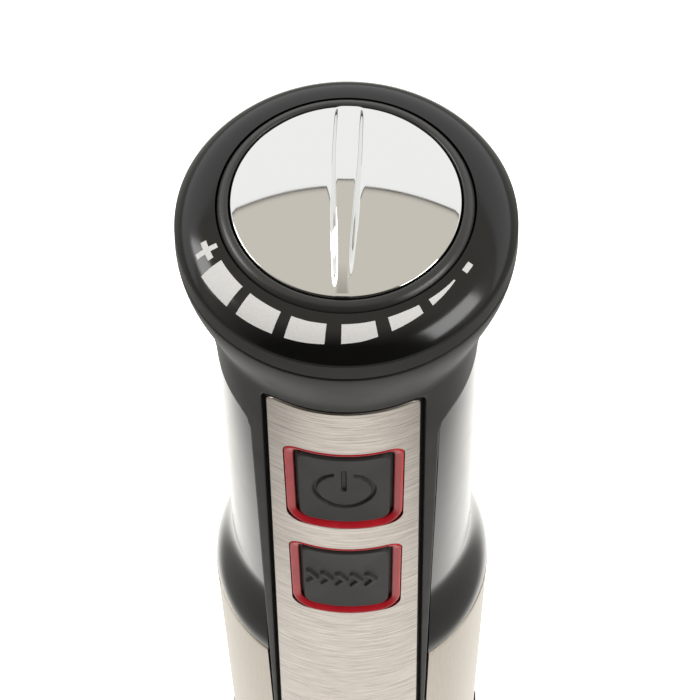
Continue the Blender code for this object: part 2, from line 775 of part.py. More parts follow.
def bearing(name, low_z, parent):
    piece = ring(name, SHAFT_R + RUNNING_GAP, BEARING_R, low_z, low_z + 0.0046)
    return finish_piece(piece, "machined_steel", parent)


def carbon_brush(name, side, parent):
    """Spring-fed carbon block that touches the commutator, next to its surface."""
    inner = COMMUTATOR_R + GAP
    outer = inner + 0.0080
    low = (min(side * inner, side * outer), -0.0022, MOTOR_TOP_Z - 0.0095)
    high = (max(side * inner, side * outer), 0.0022, MOTOR_TOP_Z - 0.0035)
    return finish_piece(block(name, low, high), "carbon", parent)


def motor_shaft(parent):
    shaft = cylinder("motor_shaft", SHAFT_R, 0.1720, MOTOR_TOP_Z + 0.0080)
    return finish_piece(shaft, "machined_steel", parent)


def armature(parent):
    """Slotted iron core that turns between the magnets."""
    outer = toothed(0.0182, 0.0150, 10)
    inner = circle(SHAFT_R + GAP, len(outer), 0.5)
    core = upright_ring("armature", outer, inner, MOTOR_END_Z + 0.008, MOTOR_TOP_Z - 0.016)
    return finish_piece(core, "copper", parent)


def commutator(parent):
    outer = toothed(COMMUTATOR_R, COMMUTATOR_R - 0.0005, 8)
    inner = circle(SHAFT_R + GAP, len(outer), 0.5)
    piece = upright_ring("commutator", outer, inner, MOTOR_TOP_Z - 0.0120, MOTOR_TOP_Z - 0.0020)
    return finish_piece(piece, "copper", parent)


def cooling_fan(parent):
    """Disc with upright blades, which draws air down past the motor."""
    disc_z = 0.1900
    fan = ring("cooling_fan", SHAFT_R + GAP, 0.0200, disc_z, disc_z + 0.0014)
    for i in range(8):
        blade = block("fan_blade", (0.0080, -0.0006, disc_z + 0.0007), (0.0195, 0.0006, disc_z + 0.0068))
        blade.data.transform(Matrix.Rotation(math.radians(12), 4, "Z"))
        blade.data.transform(Matrix.Rotation(2 * math.pi * (i + 0.5) / 8, 4, "Z"))
        fan = join(fan, blade)
    return finish_piece(fan, "white_nylon", parent)


def drive_coupling(parent):
    """Toothed drive on the motor shaft, which drops into the foot's socket."""
    outer = toothed(0.0058, 0.0046, 6)
    inner = circle(SHAFT_R + GAP, len(outer), 0.5)
    piece = upright_ring("drive_coupling", outer, inner, 0.1690, 0.1830)
    return finish_piece(piece, "machined_steel", parent)


# ---- Blending foot ------------------------------------------------------------------------

def foot_collar(parent):
    """Plastic top of the foot: a spigot for the handle's socket, a flange and a taper."""
    top = HANDLE_END_Z + 0.0120
    flange_z = HANDLE_END_Z - GAP
    spigot_r = SOCKET_R - GAP
    bore_r = TUBE_R + GAP
    outside = [(spigot_r, top), (spigot_r, flange_z), (0.0252, flange_z)]
    for i in range(6):
        t = i / 5
        outside.append((0.0252 - 0.0092 * smooth_step(t), flange_z - 0.0040 - 0.0220 * t))
    end_z = outside[-1][1]
    inside = [
        (bore_r, end_z),
        (bore_r, TUBE_TOP_Z + GAP),
        (0.0110, TUBE_TOP_Z + GAP),
        (0.0110, top),
    ]
    return finish_piece(turned("foot_collar", outside + inside), "gloss_black", parent)


def shaft_tube(parent):
    """Steel tube between the collar and the bell guard."""
    tube = ring("shaft_tube", TUBE_R - TUBE_WALL, TUBE_R, BELL_CURVE_Z - 0.0030, TUBE_TOP_Z, 36)
    return finish_piece(tube, "brushed_steel", parent)


def bell_radius(z):
    """Outer radius of the bell guard, an S-curve from its neck to its skirt."""
    return BELL_NECK_R + (BELL_R - BELL_NECK_R) * smooth_step(
        (BELL_CURVE_Z - z) / (BELL_CURVE_Z - BELL_SKIRT_Z)
    )


def bell_guard(parent):
    """Bell round the blade, with four arches in its rim that let food flow."""
    neck_bore = TUBE_R + GAP
    ledge_z = BELL_CURVE_Z - 0.0030 - GAP
    curve = levels(BELL_CURVE_Z, BELL_SKIRT_Z, 8)
    outside = [(BELL_NECK_R, BELL_CURVE_Z + 0.008)] + [(bell_radius(z), z) for z in curve]
    outside.append((BELL_R, 0.0))
    inside = [(BELL_R - BELL_WALL, 0.0)]
    for z in levels(BELL_SKIRT_Z - 0.001, 0.0440, 6):
        inside.append((bell_radius(z + 0.0012) - BELL_WALL, z))
    inside += [(0.0110, 0.0475), (0.0110, ledge_z), (neck_bore, ledge_z)]
    inside.append((neck_bore, BELL_CURVE_Z + 0.008))
    bell = turned("bell_guard", outside + inside)
    for turn in (0, 1):
        arch = along_y(cylinder("arch", 0.0095, -0.050, 0.050, 24), -0.0035)
        arch.data.transform(Matrix.Rotation(turn * math.pi / 2, 4, "Z"))
        bell = cut(bell, arch)
    return finish_piece(bell, "brushed_steel", parent)


def shaft_bush(name, low_z, high_z, parent):
    bush = ring(name, SHAFT_R + RUNNING_GAP, TUBE_R - TUBE_WALL - GAP, low_z, high_z)
    return finish_piece(bush, "white_nylon", parent)


def shaft_seal(parent):
    """Lip seal under the lower bush, which keeps liquid out of the tube."""
    seal = ring("shaft_seal", SHAFT_R + RUNNING_GAP, 0.0106, 0.0465, 0.0505)
    return finish_piece(seal, "black_rubber", parent)


def drive_shaft(parent):
    shaft = cylinder("drive_shaft", SHAFT_R, BLADE_Z - 0.0030, 0.1600)
    return finish_piece(shaft, "machined_steel", parent)


def drive_socket(parent):
    """Cup on the drive shaft with teeth inside, which the motor's coupling drops into."""
    lower = ring("drive_socket", SHAFT_R + GAP, 0.0088, 0.1500, 0.1660, 24)
    inner = toothed(0.0063, 0.0051, 6)
    outer = circle(0.0088, len(inner), 0.5)
    upper = upright_ring("cup", outer, inner, 0.1640, 0.1745)
    shelf = ring("shelf", SHAFT_R + GAP, 0.0080, 0.1600, 0.1650, 24)
    return finish_piece(join(join(lower, upper), shelf), "machined_steel", parent)


def blade(parent):
    """Two-winged cutting blade. One wing bends up and the other bends down."""
    stations = [-1.0, -0.7, -0.42, -0.22, 0.22, 0.42, 0.7, 1.0]
    loops = []
    for s in stations:
        x = s * BLADE_R
        half = 0.0048 - 0.0022 * abs(s)
        sweep = 0.0030 * s * abs(s)
        lift = 0.26 * math.copysign(max(0.0, abs(x) - 0.010), x)
        low = BLADE_Z + lift - 0.0006
        loops.append([
            (x, sweep - half, low + 0.0004),
            (x, sweep + half, low),
            (x, sweep + half, low + 0.0012),
            (x, sweep - half, low + 0.0008),
        ])
    hole = cylinder("hole", SHAFT_R + GAP, 0.0, 0.03, 16)
    return finish_piece(cut(loft("blade", loops), hole), "machined_steel", parent)


def blade_hub(parent):
    """Spacer that the blade is clamped against."""
    profile = [
        (SHAFT_R + GAP, BLADE_Z + 0.0010),
        (0.0060, BLADE_Z + 0.0010),
        (0.0060, BLADE_Z + 0.0060),
        (0.0048, BLADE_Z + 0.0140),
        (SHAFT_R + GAP, BLADE_Z + 0.0140),
    ]
    return finish_piece(turned("blade_hub", profile, SMALL_ROUND), "machined_steel", parent)


def blade_nut(parent):
    """Domed nut under the blade."""
    outer = circle(0.0052, 6)
    points = []
    for a, b in zip(outer, outer[1:] + outer[:1]):
        points += [a, ((a[0] + b[0]) / 2, (a[1] + b[1]) / 2)]
    inner = circle(SHAFT_R + GAP, len(points))
    nut = upright_ring("blade_nut", points, inner, BLADE_Z - 0.0042, BLADE_Z - 0.0010)
    cover = turned("cover", [
        (0.0, BLADE_Z - 0.0054),
        (0.0030, BLADE_Z - 0.0050),
        (0.0042, BLADE_Z - 0.0036),
        (0.0, BLADE_Z - 0.0034),
    ], 16)
    return finish_piece(join(nut, cover), "machined_steel", parent)


# ---- Assembly ----------------------------------------------------------------------------

def build():
    clear_scene()
    handle = body("handle")
    dial = body("dial_axis", (0.0, 0.0, DIAL_RIM_Z))
    rotor = body("rotor_axis", (0.0, 0.0, MOTOR_END_Z))
    foot = body("foot_axis", (0.0, 0.0, HANDLE_END_Z))
    cutter = body("blade_axis", (0.0, 0.0, BLADE_Z))

    head_cap(handle)
    dial_bezel(handle)
    potentiometer(handle)
    speed_dial(dial)
    dial_stem(dial)

    front_fascia(handle)
    button_panel(handle)
    circuit_board(handle)
    for name in BUTTON_Z:
        button_frame(name, handle)
        push_button(name, handle)
        tact_switch(name, handle)

    housing_half("housing_left", -1, handle)
    housing_half("housing_right", 1, handle)
    steel_sleeve(handle)
    bottom_collar(handle)
    release_button("release_button_left", -1, handle)
    release_button("release_button_right", 1, handle)
    cord_gland(handle)
    cord_clamp(handle)

    motor_can(handle)
    motor_magnet("magnet_left", -1, handle)
    motor_magnet("magnet_right", 1, handle)
    motor_endcap(handle)
    motor_base(handle)
    motor_screw("motor_screw_front", -1, handle)
    motor_screw("motor_screw_back", 1, handle)
    bearing("upper_bearing", MOTOR_TOP_Z + GAP, handle)
    bearing("lower_bearing", MOTOR_END_Z - GAP - 0.0048, handle)
    carbon_brush("brush_left", -1, handle)
    carbon_brush("brush_right", 1, handle)
    motor_shaft(rotor)
    armature(rotor)
    commutator(rotor)
    cooling_fan(rotor)
    drive_coupling(rotor)

    foot_collar(foot)
    shaft_tube(foot)
    bell_guard(foot)
    shaft_bush("upper_bush", 0.1380, 0.1470, foot)
    shaft_bush("lower_bush", BELL_CURVE_Z - 0.0030, BELL_CURVE_Z + 0.0080, foot)
    shaft_seal(foot)
    drive_shaft(cutter)
    drive_socket(cutter)
    blade(cutter)
    blade_hub(cutter)
    blade_nut(cutter)


build()
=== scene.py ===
# %% [markdown]
# # An immersion blender, piece by piece
# The blender is a black motor handle with a chromed speed dial on top, a steel button panel in front and a
# pull-off steel foot below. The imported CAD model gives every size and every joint. This lesson covers each
# CAD solid that shows with a finer surface, and paints the ones that stay.

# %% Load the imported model
import math

import bmesh
import bpy
import numpy as np
from mathutils import Matrix, Vector


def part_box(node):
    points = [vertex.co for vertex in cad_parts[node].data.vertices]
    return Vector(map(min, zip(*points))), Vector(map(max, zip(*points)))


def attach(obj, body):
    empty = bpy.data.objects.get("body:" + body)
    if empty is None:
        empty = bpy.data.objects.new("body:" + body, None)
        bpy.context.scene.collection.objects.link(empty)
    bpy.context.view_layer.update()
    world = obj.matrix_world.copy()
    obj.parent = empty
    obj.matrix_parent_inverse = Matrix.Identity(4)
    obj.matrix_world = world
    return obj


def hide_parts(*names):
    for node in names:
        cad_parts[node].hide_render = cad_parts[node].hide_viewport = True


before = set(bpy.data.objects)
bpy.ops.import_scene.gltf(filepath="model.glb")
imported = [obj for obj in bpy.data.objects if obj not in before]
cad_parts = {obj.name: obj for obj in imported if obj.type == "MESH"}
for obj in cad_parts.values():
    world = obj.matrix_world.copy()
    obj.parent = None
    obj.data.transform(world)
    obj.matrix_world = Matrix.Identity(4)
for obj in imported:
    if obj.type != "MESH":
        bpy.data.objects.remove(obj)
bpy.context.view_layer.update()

MM = 0.001

# %% [markdown]
# ## Sizes that the pieces share
# Heights on the handle are easiest to read downwards from the rim of the dial, so the rim is one constant
# and the rest hang from it. They are the CAD model's own dimensions, in metres.

# %% Shared sizes
RIM_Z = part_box("speed_dial")[1].z - 5.6 * MM
SEAM_Z = RIM_Z - 9.7 * MM               # between the head cap and the collar
NECK_Z = RIM_Z - 37.0 * MM              # where the collar has narrowed to the neck
FILLET_Z = NECK_Z - 5.5 * MM            # where the collar's lower edge has turned into the strip's side
FLARE_Z = RIM_Z - 118.0 * MM
SHOULDER_Z = RIM_Z - 139.2 * MM
STRIP_END_Z = RIM_Z - 203.0 * MM
SLEEVE_END_Z = RIM_Z - 229.5 * MM
HANDLE_END_Z = RIM_Z - 252.0 * MM
PANEL_TOP_Z = RIM_Z - 28.0 * MM
PANEL_END_Z = RIM_Z - 198.0 * MM
KEY_Z = {"power": RIM_Z - 56.3 * MM, "turbo": RIM_Z - 93.3 * MM}
STRIP_HALF = 17.7 * MM
GAP = 0.3 * MM
WALL = 2.2 * MM
print("dial rim at", round(RIM_Z / MM, 1), "mm; shoulder at", round(SHOULDER_Z / MM, 1), "mm")

# %% [markdown]
# ## Camera
# A long lens looks down on the head from in front, about 59 degrees above the horizon. The camera is
# placed from the dial's rim: so far back along the line of sight, and a little below it, because the head
# sits high in the frame. A slight turn and roll stand for a blender that isn't held quite straight.

# %% Place the camera
ELEVATION = math.radians(59.2)
AZIMUTH = math.radians(2.6)
ROLL = -0.0158
sight = Vector((0.0, math.cos(ELEVATION), -math.sin(ELEVATION)))
upward = Vector((0.0, math.sin(ELEVATION), math.cos(ELEVATION)))
across = Vector((1.0, 0.0, 0.0))
eye = -(sight * 361.0 + upward * 25.92 + across * -0.3) * MM
right = across * math.cos(ROLL) + upward * math.sin(ROLL)
top = upward * math.cos(ROLL) - across * math.sin(ROLL)
turn = Matrix.Rotation(AZIMUTH, 4, "Z")
axes = Matrix((right, top, -sight)).transposed().to_4x4()
camera = bpy.data.objects.new("camera", bpy.data.cameras.new("camera"))
camera.data.sensor_width = 36.0
camera.data.lens = 108.0
camera.data.clip_start = 0.01
camera.matrix_world = Matrix.Translation((0.0, 0.0, RIM_Z)) @ turn @ Matrix.Translation(eye) @ axes
bpy.context.collection.objects.link(camera)
bpy.context.scene.camera = camera
print("camera at", [round(c / MM) for c in camera.matrix_world.translation], "mm")

# %% [markdown]
# ## Colours and nodes
# Colours are written as sRGB hex, the way a paint chip is read, and one function turns them to the linear
# values that the shader wants. One more function adds any node at all, with its settings and its links,
# so a material below reads as a short list of what it is made from.

# %% Colour and node helpers
def linear(code):
    """sRGB hex to linear: c / 12.92 up to 0.04045, and ((c + 0.055) / 1.055) ** 2.4 above it."""
    c = np.array([int(code[i:i + 2], 16) for i in (1, 3, 5)]) / 255.0
    return (*np.where(c < 0.04045, c / 12.92, ((c + 0.055) / 1.055) ** 2.4).tolist(), 1.0)


def add(tree, kind, sockets=None, **settings):
    """Adds a node. A (node, output name) pair as a socket value becomes a link; any other is typed in."""
    node = tree.nodes.new(kind)
    for key, value in settings.items():
        setattr(node, key, value)
    for key, value in (sockets or {}).items():
        if isinstance(value, tuple) and isinstance(value[0], bpy.types.Node):
            tree.links.new(value[0].outputs[value[1]], node.inputs[key])
        else:
            node.inputs[key].default_value = value
    return node


def new_material(name, **sockets):
    """A material with one Principled shader. Underscores in the socket names stand for spaces."""
    material = bpy.data.materials.new(name)
    material.use_nodes = True
    tree = material.node_tree
    shader = tree.nodes["Principled BSDF"]
    for key, value in sockets.items():
        shader.inputs[key.replace("_", " ")].default_value = value
    place = add(tree, "ShaderNodeTexCoord")
    return material, tree, shader, (place, "Object")


print("mid grey is", round(linear("#808080")[0], 3), "in linear light")

# %% [markdown]
# ## Studio
# White table, white wall behind, and a warm grey ceiling: the chromed dial shows all three, with the wall
# ending about 53 degrees up as a straight edge. The wall, the ceiling and the dim room in front are
# painted on the world, as a rule on the direction of sight, so they light the blender evenly and cast
# nothing hard. Two soft boxes at the sides put the long highlights on the cap and the housing. The table
# carries a painted pool of light: it glows white in an oval round the blender and its colour falls off
# to grey outside it, which keeps the sides of the gloss plastic dark.

# %% The world as wall, ceiling and dim room
WALL_TOP_SLOPE = 1.351                  # tangent of the angle at which the wall ends
EDGE_START, EDGE_END = 0.004, 0.014     # the dark line between wall and ceiling
CEILING_START, CEILING_FULL = 0.04, 0.075
world = bpy.data.worlds.new("studio")
bpy.context.scene.world = world
world.use_nodes = True
tree = world.node_tree
direction = add(tree, "ShaderNodeTexCoord")
parts = add(tree, "ShaderNodeSeparateXYZ", {"Vector": (direction, "Generated")})
wall_line = add(tree, "ShaderNodeMath", {0: (parts, "Y"), 1: WALL_TOP_SLOPE}, operation="MULTIPLY")
above = add(tree, "ShaderNodeMath", {0: (parts, "Z"), 1: (wall_line, 0)}, operation="SUBTRACT")
wall_or_ceiling = add(tree, "ShaderNodeValToRGB", {"Fac": (above, 0)})
ramp = wall_or_ceiling.color_ramp
ramp.elements[0].position = 0.0
ramp.elements[0].color = linear("#fafbfb")
ramp.elements[1].position = CEILING_FULL
ramp.elements[1].color = linear("#cfcac0")
dark_edge = ramp.elements.new(EDGE_START)
dark_edge.color = linear("#3a3835")
dark_end = ramp.elements.new(EDGE_END)
dark_end.color = linear("#55524e")
after_edge = ramp.elements.new(CEILING_START)
after_edge.color = linear("#bbb6ad")
frontness = add(tree, "ShaderNodeMapRange", {"Value": (parts, "Y"), 1: -0.2, 2: -0.75, 3: 0.0, 4: 1.0})
scene_colour = add(tree, "ShaderNodeMix", {
    "Factor": (frontness, 0), 6: (wall_or_ceiling, "Color"), 7: linear("#141414")}, data_type="RGBA")
tree.links.new(scene_colour.outputs[2], tree.nodes["Background"].inputs["Color"])
tree.nodes["Background"].inputs["Strength"].default_value = 1.0
bpy.context.scene.view_settings.view_transform = "Standard"
print("world:", len(tree.nodes), "nodes")

# %% The table and the soft boxes
def soft_box(name, towards, distance, width, height, power, colour="#ffffff"):
    """A rectangular light, so far from the dial along a direction, that faces the dial."""
    lamp = bpy.data.objects.new(name, bpy.data.lights.new(name, "AREA"))
    lamp.data.shape = "RECTANGLE"
    lamp.data.size, lamp.data.size_y = width, height
    lamp.data.energy = power
    lamp.data.color = linear(colour)[:3]
    out = Vector(towards).normalized()
    lamp.location = Vector((0.0, 0.0, RIM_Z)) + out * distance
    lamp.rotation_mode = "QUATERNION"
    lamp.rotation_quaternion = out.to_track_quat("Z", "Y")
    bpy.context.collection.objects.link(lamp)


POOL_SHIFT = (0.0, -0.14, 0.0)          # the bright oval lies a little behind the blender
POOL_STRETCH = (2.8, 1.0, 1.0)          # and is 2.8 times as long as it is wide
POOL_START, POOL_END = 0.47, 0.80       # stretched distances over which it fades
FAR_GLOW = 0.06                         # light left beyond it
FRONT_GLOW = 0.62                       # share of the light in front of the blender
table_mesh = bpy.data.meshes.new("table")
table_mesh.from_pydata([(-4, -4, 0), (4, -4, 0), (4, 4, 0), (-4, 4, 0)], [], [(0, 1, 2, 3)])
table = bpy.data.objects.new("table", table_mesh)
bpy.context.collection.objects.link(table)
# The table's colour and its glow are a painted pool of light: grey far out, white and self-lit in an oval
# round the blender.
painted_light_table, tree, shader, place = new_material("table_matt_painted_light_pool", Roughness=0.9, Specular_IOR_Level=0.1)
oval = add(tree, "ShaderNodeMapping", {"Vector": place, "Location": POOL_SHIFT, "Scale": POOL_STRETCH})
away = add(tree, "ShaderNodeVectorMath", {0: (oval, 0)}, operation="LENGTH")
pool = add(tree, "ShaderNodeMapRange", {"Value": (away, "Value"), 1: POOL_START, 2: POOL_END, 3: 1.0,
                                        4: FAR_GLOW},
           interpolation_type="SMOOTHSTEP")
place_parts = add(tree, "ShaderNodeSeparateXYZ", {0: place})
nearer = add(tree, "ShaderNodeMapRange", {"Value": (place_parts, "Y"), 1: -0.04, 2: 0.06, 3: FRONT_GLOW,
                                          4: 1.0})
glow = add(tree, "ShaderNodeMath", {0: (pool, 0), 1: (nearer, 0)}, operation="MULTIPLY")
# Painted pool of light in the base colour: grey outside the oval, white inside it.
painted_pool_colour = add(tree, "ShaderNodeMix", {
    "Factor": (pool, 0), 6: linear("#a2a2a0"), 7: linear("#f4f4f2")}, data_type="RGBA")
tree.links.new(painted_pool_colour.outputs[2], shader.inputs["Base Color"])
tree.links.new(glow.outputs[0], shader.inputs["Emission Strength"])
shader.inputs["Emission Color"].default_value = linear("#fffdf9")
table_mesh.materials.append(painted_light_table)
soft_box("soft_box_left", (-0.87, 0.08, 0.48), 1.6, 0.8, 0.7, 9.0)
soft_box("soft_box_right", (0.84, -0.40, 0.34), 1.6, 0.9, 0.8, 11.0)
print("table and two soft boxes")

# %% [markdown]
# ## How a surface becomes a piece
# Every new piece is worked out as grids of points. Most of the handle is a skin of varying radius round
# one axis, so a point is an angle from the front, a radius and a height. A piece may be made of several
# grids that share edges: they are welded, the empty faces at poles fall away, and the faces are turned
# outwards.

# %% From grids of points to a piece
def around(angle, radius, z):
    """Points at an angle from the front (-Y) towards +X: x = r sin(angle), y = -r cos(angle)."""
    angle, radius, z = np.broadcast_arrays(angle, radius, z)
    return np.stack([radius * np.sin(angle), -radius * np.cos(angle), z], axis=-1)


def grid_faces(shape, wrap_rows=False, wrap_columns=False):
    """Quads of a grid, each joining a point to the next in its row and in its column."""
    index = np.arange(shape[0] * shape[1]).reshape(shape[:2])
    if wrap_rows:
        index = np.vstack([index, index[:1]])
    if wrap_columns:
        index = np.hstack([index, index[:, :1]])
    corners = [index[:-1, :-1], index[:-1, 1:], index[1:, 1:], index[1:, :-1]]
    return np.stack(corners, axis=-1).reshape(-1, 4)


def make_piece(name, parts, materials, body, *nodes, slot=None, sharp=35.0, weld=2e-6, pick=None):
    """Puts (points, faces) pairs into one mesh, welds it, faces it outwards and hangs it on a body."""
    points = np.concatenate([p.reshape(-1, 3) for p, _ in parts])
    starts = np.cumsum([0] + [p.reshape(-1, 3).shape[0] for p, _ in parts[:-1]])
    faces = np.concatenate([f + start for (_, f), start in zip(parts, starts)])
    mesh = bpy.data.meshes.new(name)
    mesh.from_pydata(points.tolist(), [], faces.tolist())
    work = bmesh.new()
    work.from_mesh(mesh)
    bmesh.ops.remove_doubles(work, verts=work.verts, dist=weld)
    bmesh.ops.delete(work, geom=[v for v in work.verts if not v.link_faces], context="VERTS")
    bmesh.ops.recalc_face_normals(work, faces=work.faces)
    work.to_mesh(mesh)
    work.free()
    mesh.shade_smooth()
    mesh.set_sharp_from_angle(angle=math.radians(sharp))
    for material in materials:
        mesh.materials.append(material)
    if pick is not None:
        centres = np.empty(len(mesh.polygons) * 3)
        mesh.polygons.foreach_get("center", centres)
        mesh.polygons.foreach_set("material_index", pick(centres.reshape(-1, 3)).astype(np.int32))
    piece = bpy.data.objects.new(name, mesh)
    bpy.context.collection.objects.link(piece)
    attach(piece, body)
    if nodes:
        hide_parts(*nodes)
    print(f"{name}: {len(mesh.polygons)} faces on {body}")
    return piece


# %% [markdown]
# Plastic parts have small radii on every edge, because a mould can't be cut sharp. One function rounds the
# corners of a section before it is carried round the axis, and one eases the edge of a skin: both give the
# thin highlights that make an edge look moulded.

# %% Rounded sections and eased edges
def rounded(section, radius, steps=4):
    """Closed section. A quadratic curve that starts a radius before each corner replaces it."""
    p = np.asarray(section, float)
    before, after = np.roll(p, 1, axis=0) - p, np.roll(p, -1, axis=0) - p
    lengths = [np.linalg.norm(d, axis=1) for d in (before, after)]
    reach = [np.minimum(radius, 0.45 * length) / length for length in lengths]
    a, b = p + before * reach[0][:, None], p + after * reach[1][:, None]
    t = np.linspace(0.0, 1.0, steps + 1)[None, :, None]
    curve = (1 - t) ** 2 * a[:, None] + 2 * t * (1 - t) * p[:, None] + t * t * b[:, None]
    return curve.reshape(-1, 2)


def turned(section, sides=144):
    """A closed section of (radius, height) carried once round the axis."""
    section = np.asarray(section)
    angle = np.linspace(0.0, 2 * math.pi, sides, endpoint=False)
    points = around(angle[None, :], section[:, :1], section[:, 1:])
    return points, grid_faces(points.shape, wrap_rows=True, wrap_columns=True)


def eased(distance, size):
    """How far a surface has dropped at a distance from its edge, when the edge is a quarter circle."""
    d = np.clip(distance, 0.0, size)
    return size - np.sqrt(np.maximum(0.0, size ** 2 - (size - d) ** 2))


def smooth_step(t):
    """0 to 1 along 3t^2 - 2t^3, level at both ends."""
    t = np.clip(t, 0.0, 1.0)
    return t * t * (3 - 2 * t)


def span(*stops):
    """Values that run through (start, count, start, count, ..., end), evenly between neighbours."""
    runs = [np.linspace(stops[i], stops[i + 2], stops[i + 1] + 1)[:-1] for i in range(0, len(stops) - 2, 2)]
    return np.concatenate(runs + [[stops[-1]]])


print("a 2 mm square with 0.3 mm corners:", rounded([(0, 0), (2, 0), (2, 2), (0, 2)], 0.3).shape[0],
      "points")

# %% [markdown]
# The fascia, the panel, the sleeve and the collar are walls with recesses and windows in them. A wall
# like that is a stack of three grids that share rows and columns: the back, the floor of the recess and
# the front. Each cell says which of them shows, and a side wall goes in wherever two neighbours differ.
# The rows and columns may bend, so a window's corners can be round.

# %% A wall with recesses and windows
def terraced(front, floor, back, level, ring=False):
    """Quads between three grids; level is 2 on the front, 1 on the recess floor and 0 where a window is."""
    tiers = np.stack([back, floor, front])
    index = np.arange(tiers[..., 0].size).reshape(tiers.shape[:3])
    quads = []
    for tier, shown in ((0, level > 0), (1, level == 1), (2, level == 2)):
        r, c = np.nonzero(shown)
        quads.append(np.stack([index[tier, r, c], index[tier, r, c + 1], index[tier, r + 1, c + 1],
                               index[tier, r + 1, c]], axis=1))
    beside = np.pad(level, ((0, 0), (1, 1)), mode="wrap" if ring else "constant")
    a, b = beside[:, :-1], beside[:, 1:]
    r, c = np.nonzero(a != b)
    quads.append(np.stack([index[a[r, c], r, c], index[a[r, c], r + 1, c], index[b[r, c], r + 1, c],
                           index[b[r, c], r, c]], axis=1))
    stacked = np.pad(level, ((1, 1), (0, 0)))
    a, b = stacked[:-1], stacked[1:]
    r, c = np.nonzero(a != b)
    quads.append(np.stack([index[a[r, c], r, c], index[a[r, c], r, c + 1], index[b[r, c], r, c + 1],
                           index[b[r, c], r, c]], axis=1))
    return tiers, np.concatenate(quads)


def columns(*stops):
    """Bent columns: each stop is an x for every row, and between two stops stands a number of columns."""
    runs = []
    for i in range(0, len(stops) - 2, 2):
        share = np.linspace(0.0, 1.0, stops[i + 1] + 1)[None, :-1]
        runs.append(stops[i][:, None] + (stops[i + 2] - stops[i])[:, None] * share)
    half = np.hstack(runs + [stops[-1][:, None]])
    return np.hstack([-half[:, :0:-1], half])


def edge_line(z, half, corner, low, high):
    """Half width of a window at each height: straight sides and a quarter circle into each end."""
    inset = corner - np.clip(np.minimum(z - low, high - z), 0.0, corner)
    return half - corner + np.sqrt(np.maximum(0.0, corner ** 2 - inset ** 2))


def corner_rows(high, low, corner, inner, steps=6):
    """Rows of a window from its top to its end, close together where its corners turn."""
    bend = corner * (1 - np.cos(np.linspace(0, math.pi / 2, steps + 1)))
    return np.concatenate([high - bend, np.linspace(high - corner, low + corner, inner + 1)[1:-1],
                           (low + bend)[::-1]])


print("a recess is any cell at level 1")

# %% [markdown]
# ## Radii of the handle
# These are the CAD model's own curves, written for whole arrays: the collar under the head draws in along a
# smooth step, the neck widens slowly and flares to the shoulder, and the front strip is a second, leaning
# cylinder on the same axis.

# %% The handle's curves
def funnel_radius(z):
    """24.6 mm plus 5.6 mm times a smooth step of the remaining height to the power 1.1."""
    left = np.clip((z - NECK_Z) / (SEAM_Z - NECK_Z), 0.0, 1.0)
    return 24.6 * MM + 5.6 * MM * smooth_step(left ** 1.1)


def neck_radius(z):
    """24.6 mm at the collar, 26.1 mm where the flare starts, in a straight line."""
    return 24.6 * MM + 1.5 * MM * np.maximum(0.0, (NECK_Z - z) / (NECK_Z - FLARE_Z))


def housing_radius(z):
    """The neck, carried out to 30.9 mm at the shoulder by a smooth step."""
    end = neck_radius(SHOULDER_Z)
    return neck_radius(z) + (30.9 * MM - end) * smooth_step((FLARE_Z - z) / (FLARE_Z - SHOULDER_Z))


def strip_radius(z):
    """25.8 mm at the rim, and 3.84 mm more for each 100 mm down."""
    return 25.8 * MM + 0.0384 * (RIM_Z - z)


def sleeve_radius(z):
    """31.0 mm at the shoulder to 31.6 mm at its lower end."""
    return 31.0 * MM + 0.6 * MM * (SHOULDER_Z - z) / (SHOULDER_Z - SLEEVE_END_Z)


def fascia_radius(angle, z):
    """The strip in front and the collar elsewhere, blended by a smooth step over 48 degrees of turn."""
    edge = np.arcsin(STRIP_HALF / strip_radius(z))
    proud = strip_radius(z) - funnel_radius(z)
    proud = 0.5 * (proud + np.sqrt(proud ** 2 + (0.6 * MM) ** 2))
    return funnel_radius(z) + proud * (1 - smooth_step((np.abs(angle) - edge) / math.radians(48)))


print("strip radius at its end:", round(float(strip_radius(STRIP_END_Z)) / MM, 2), "mm")

# %% [markdown]
# ## Gloss black plastic
# The cap and the housing are ABS from a polished mould. It is nearly black with a clear shine; up close
# the gloss waves a little where the plastic sank in cooling, and handling leaves it less shiny in
# patches. A wide noise does the waves and another varies the roughness.

# %% Material: ABS, polished mould
def gloss_abs(name, colour, roughness):
    material, tree, shader, place = new_material(name, Base_Color=linear(colour), IOR=1.53)
    sink = add(tree, "ShaderNodeTexNoise", {"Vector": place, "Scale": 1 / (14 * MM), "Detail": 1.0})
    wave = add(tree, "ShaderNodeBump", {"Height": (sink, "Fac"), "Strength": 0.05, "Distance": 0.5 * MM})
    tree.links.new(wave.outputs[0], shader.inputs["Normal"])
    rub = add(tree, "ShaderNodeTexNoise", {"Vector": place, "Scale": 1 / (5 * MM), "Detail": 4.0})
    shine = add(tree, "ShaderNodeMapRange",
                {"Value": (rub, "Fac"), 3: roughness * 0.75, 4: roughness * 1.35})
    tree.links.new(shine.outputs[0], shader.inputs["Roughness"])
    return material


gloss_black = gloss_abs("black_abs_polished", "#151514", 0.15)
smoked_black = gloss_abs("smoked_abs_polished", "#3b3b3a", 0.28)
print("made", gloss_black.name, "and", smoked_black.name)

# %% [markdown]
# ## Satin charcoal plastic
# The fascia and the buttons come from a spark-eroded mould, which leaves a fine even grain of about a
# tenth of a millimetre. That is too fine to show here, so the grain is drawn at a quarter of a
# millimetre.

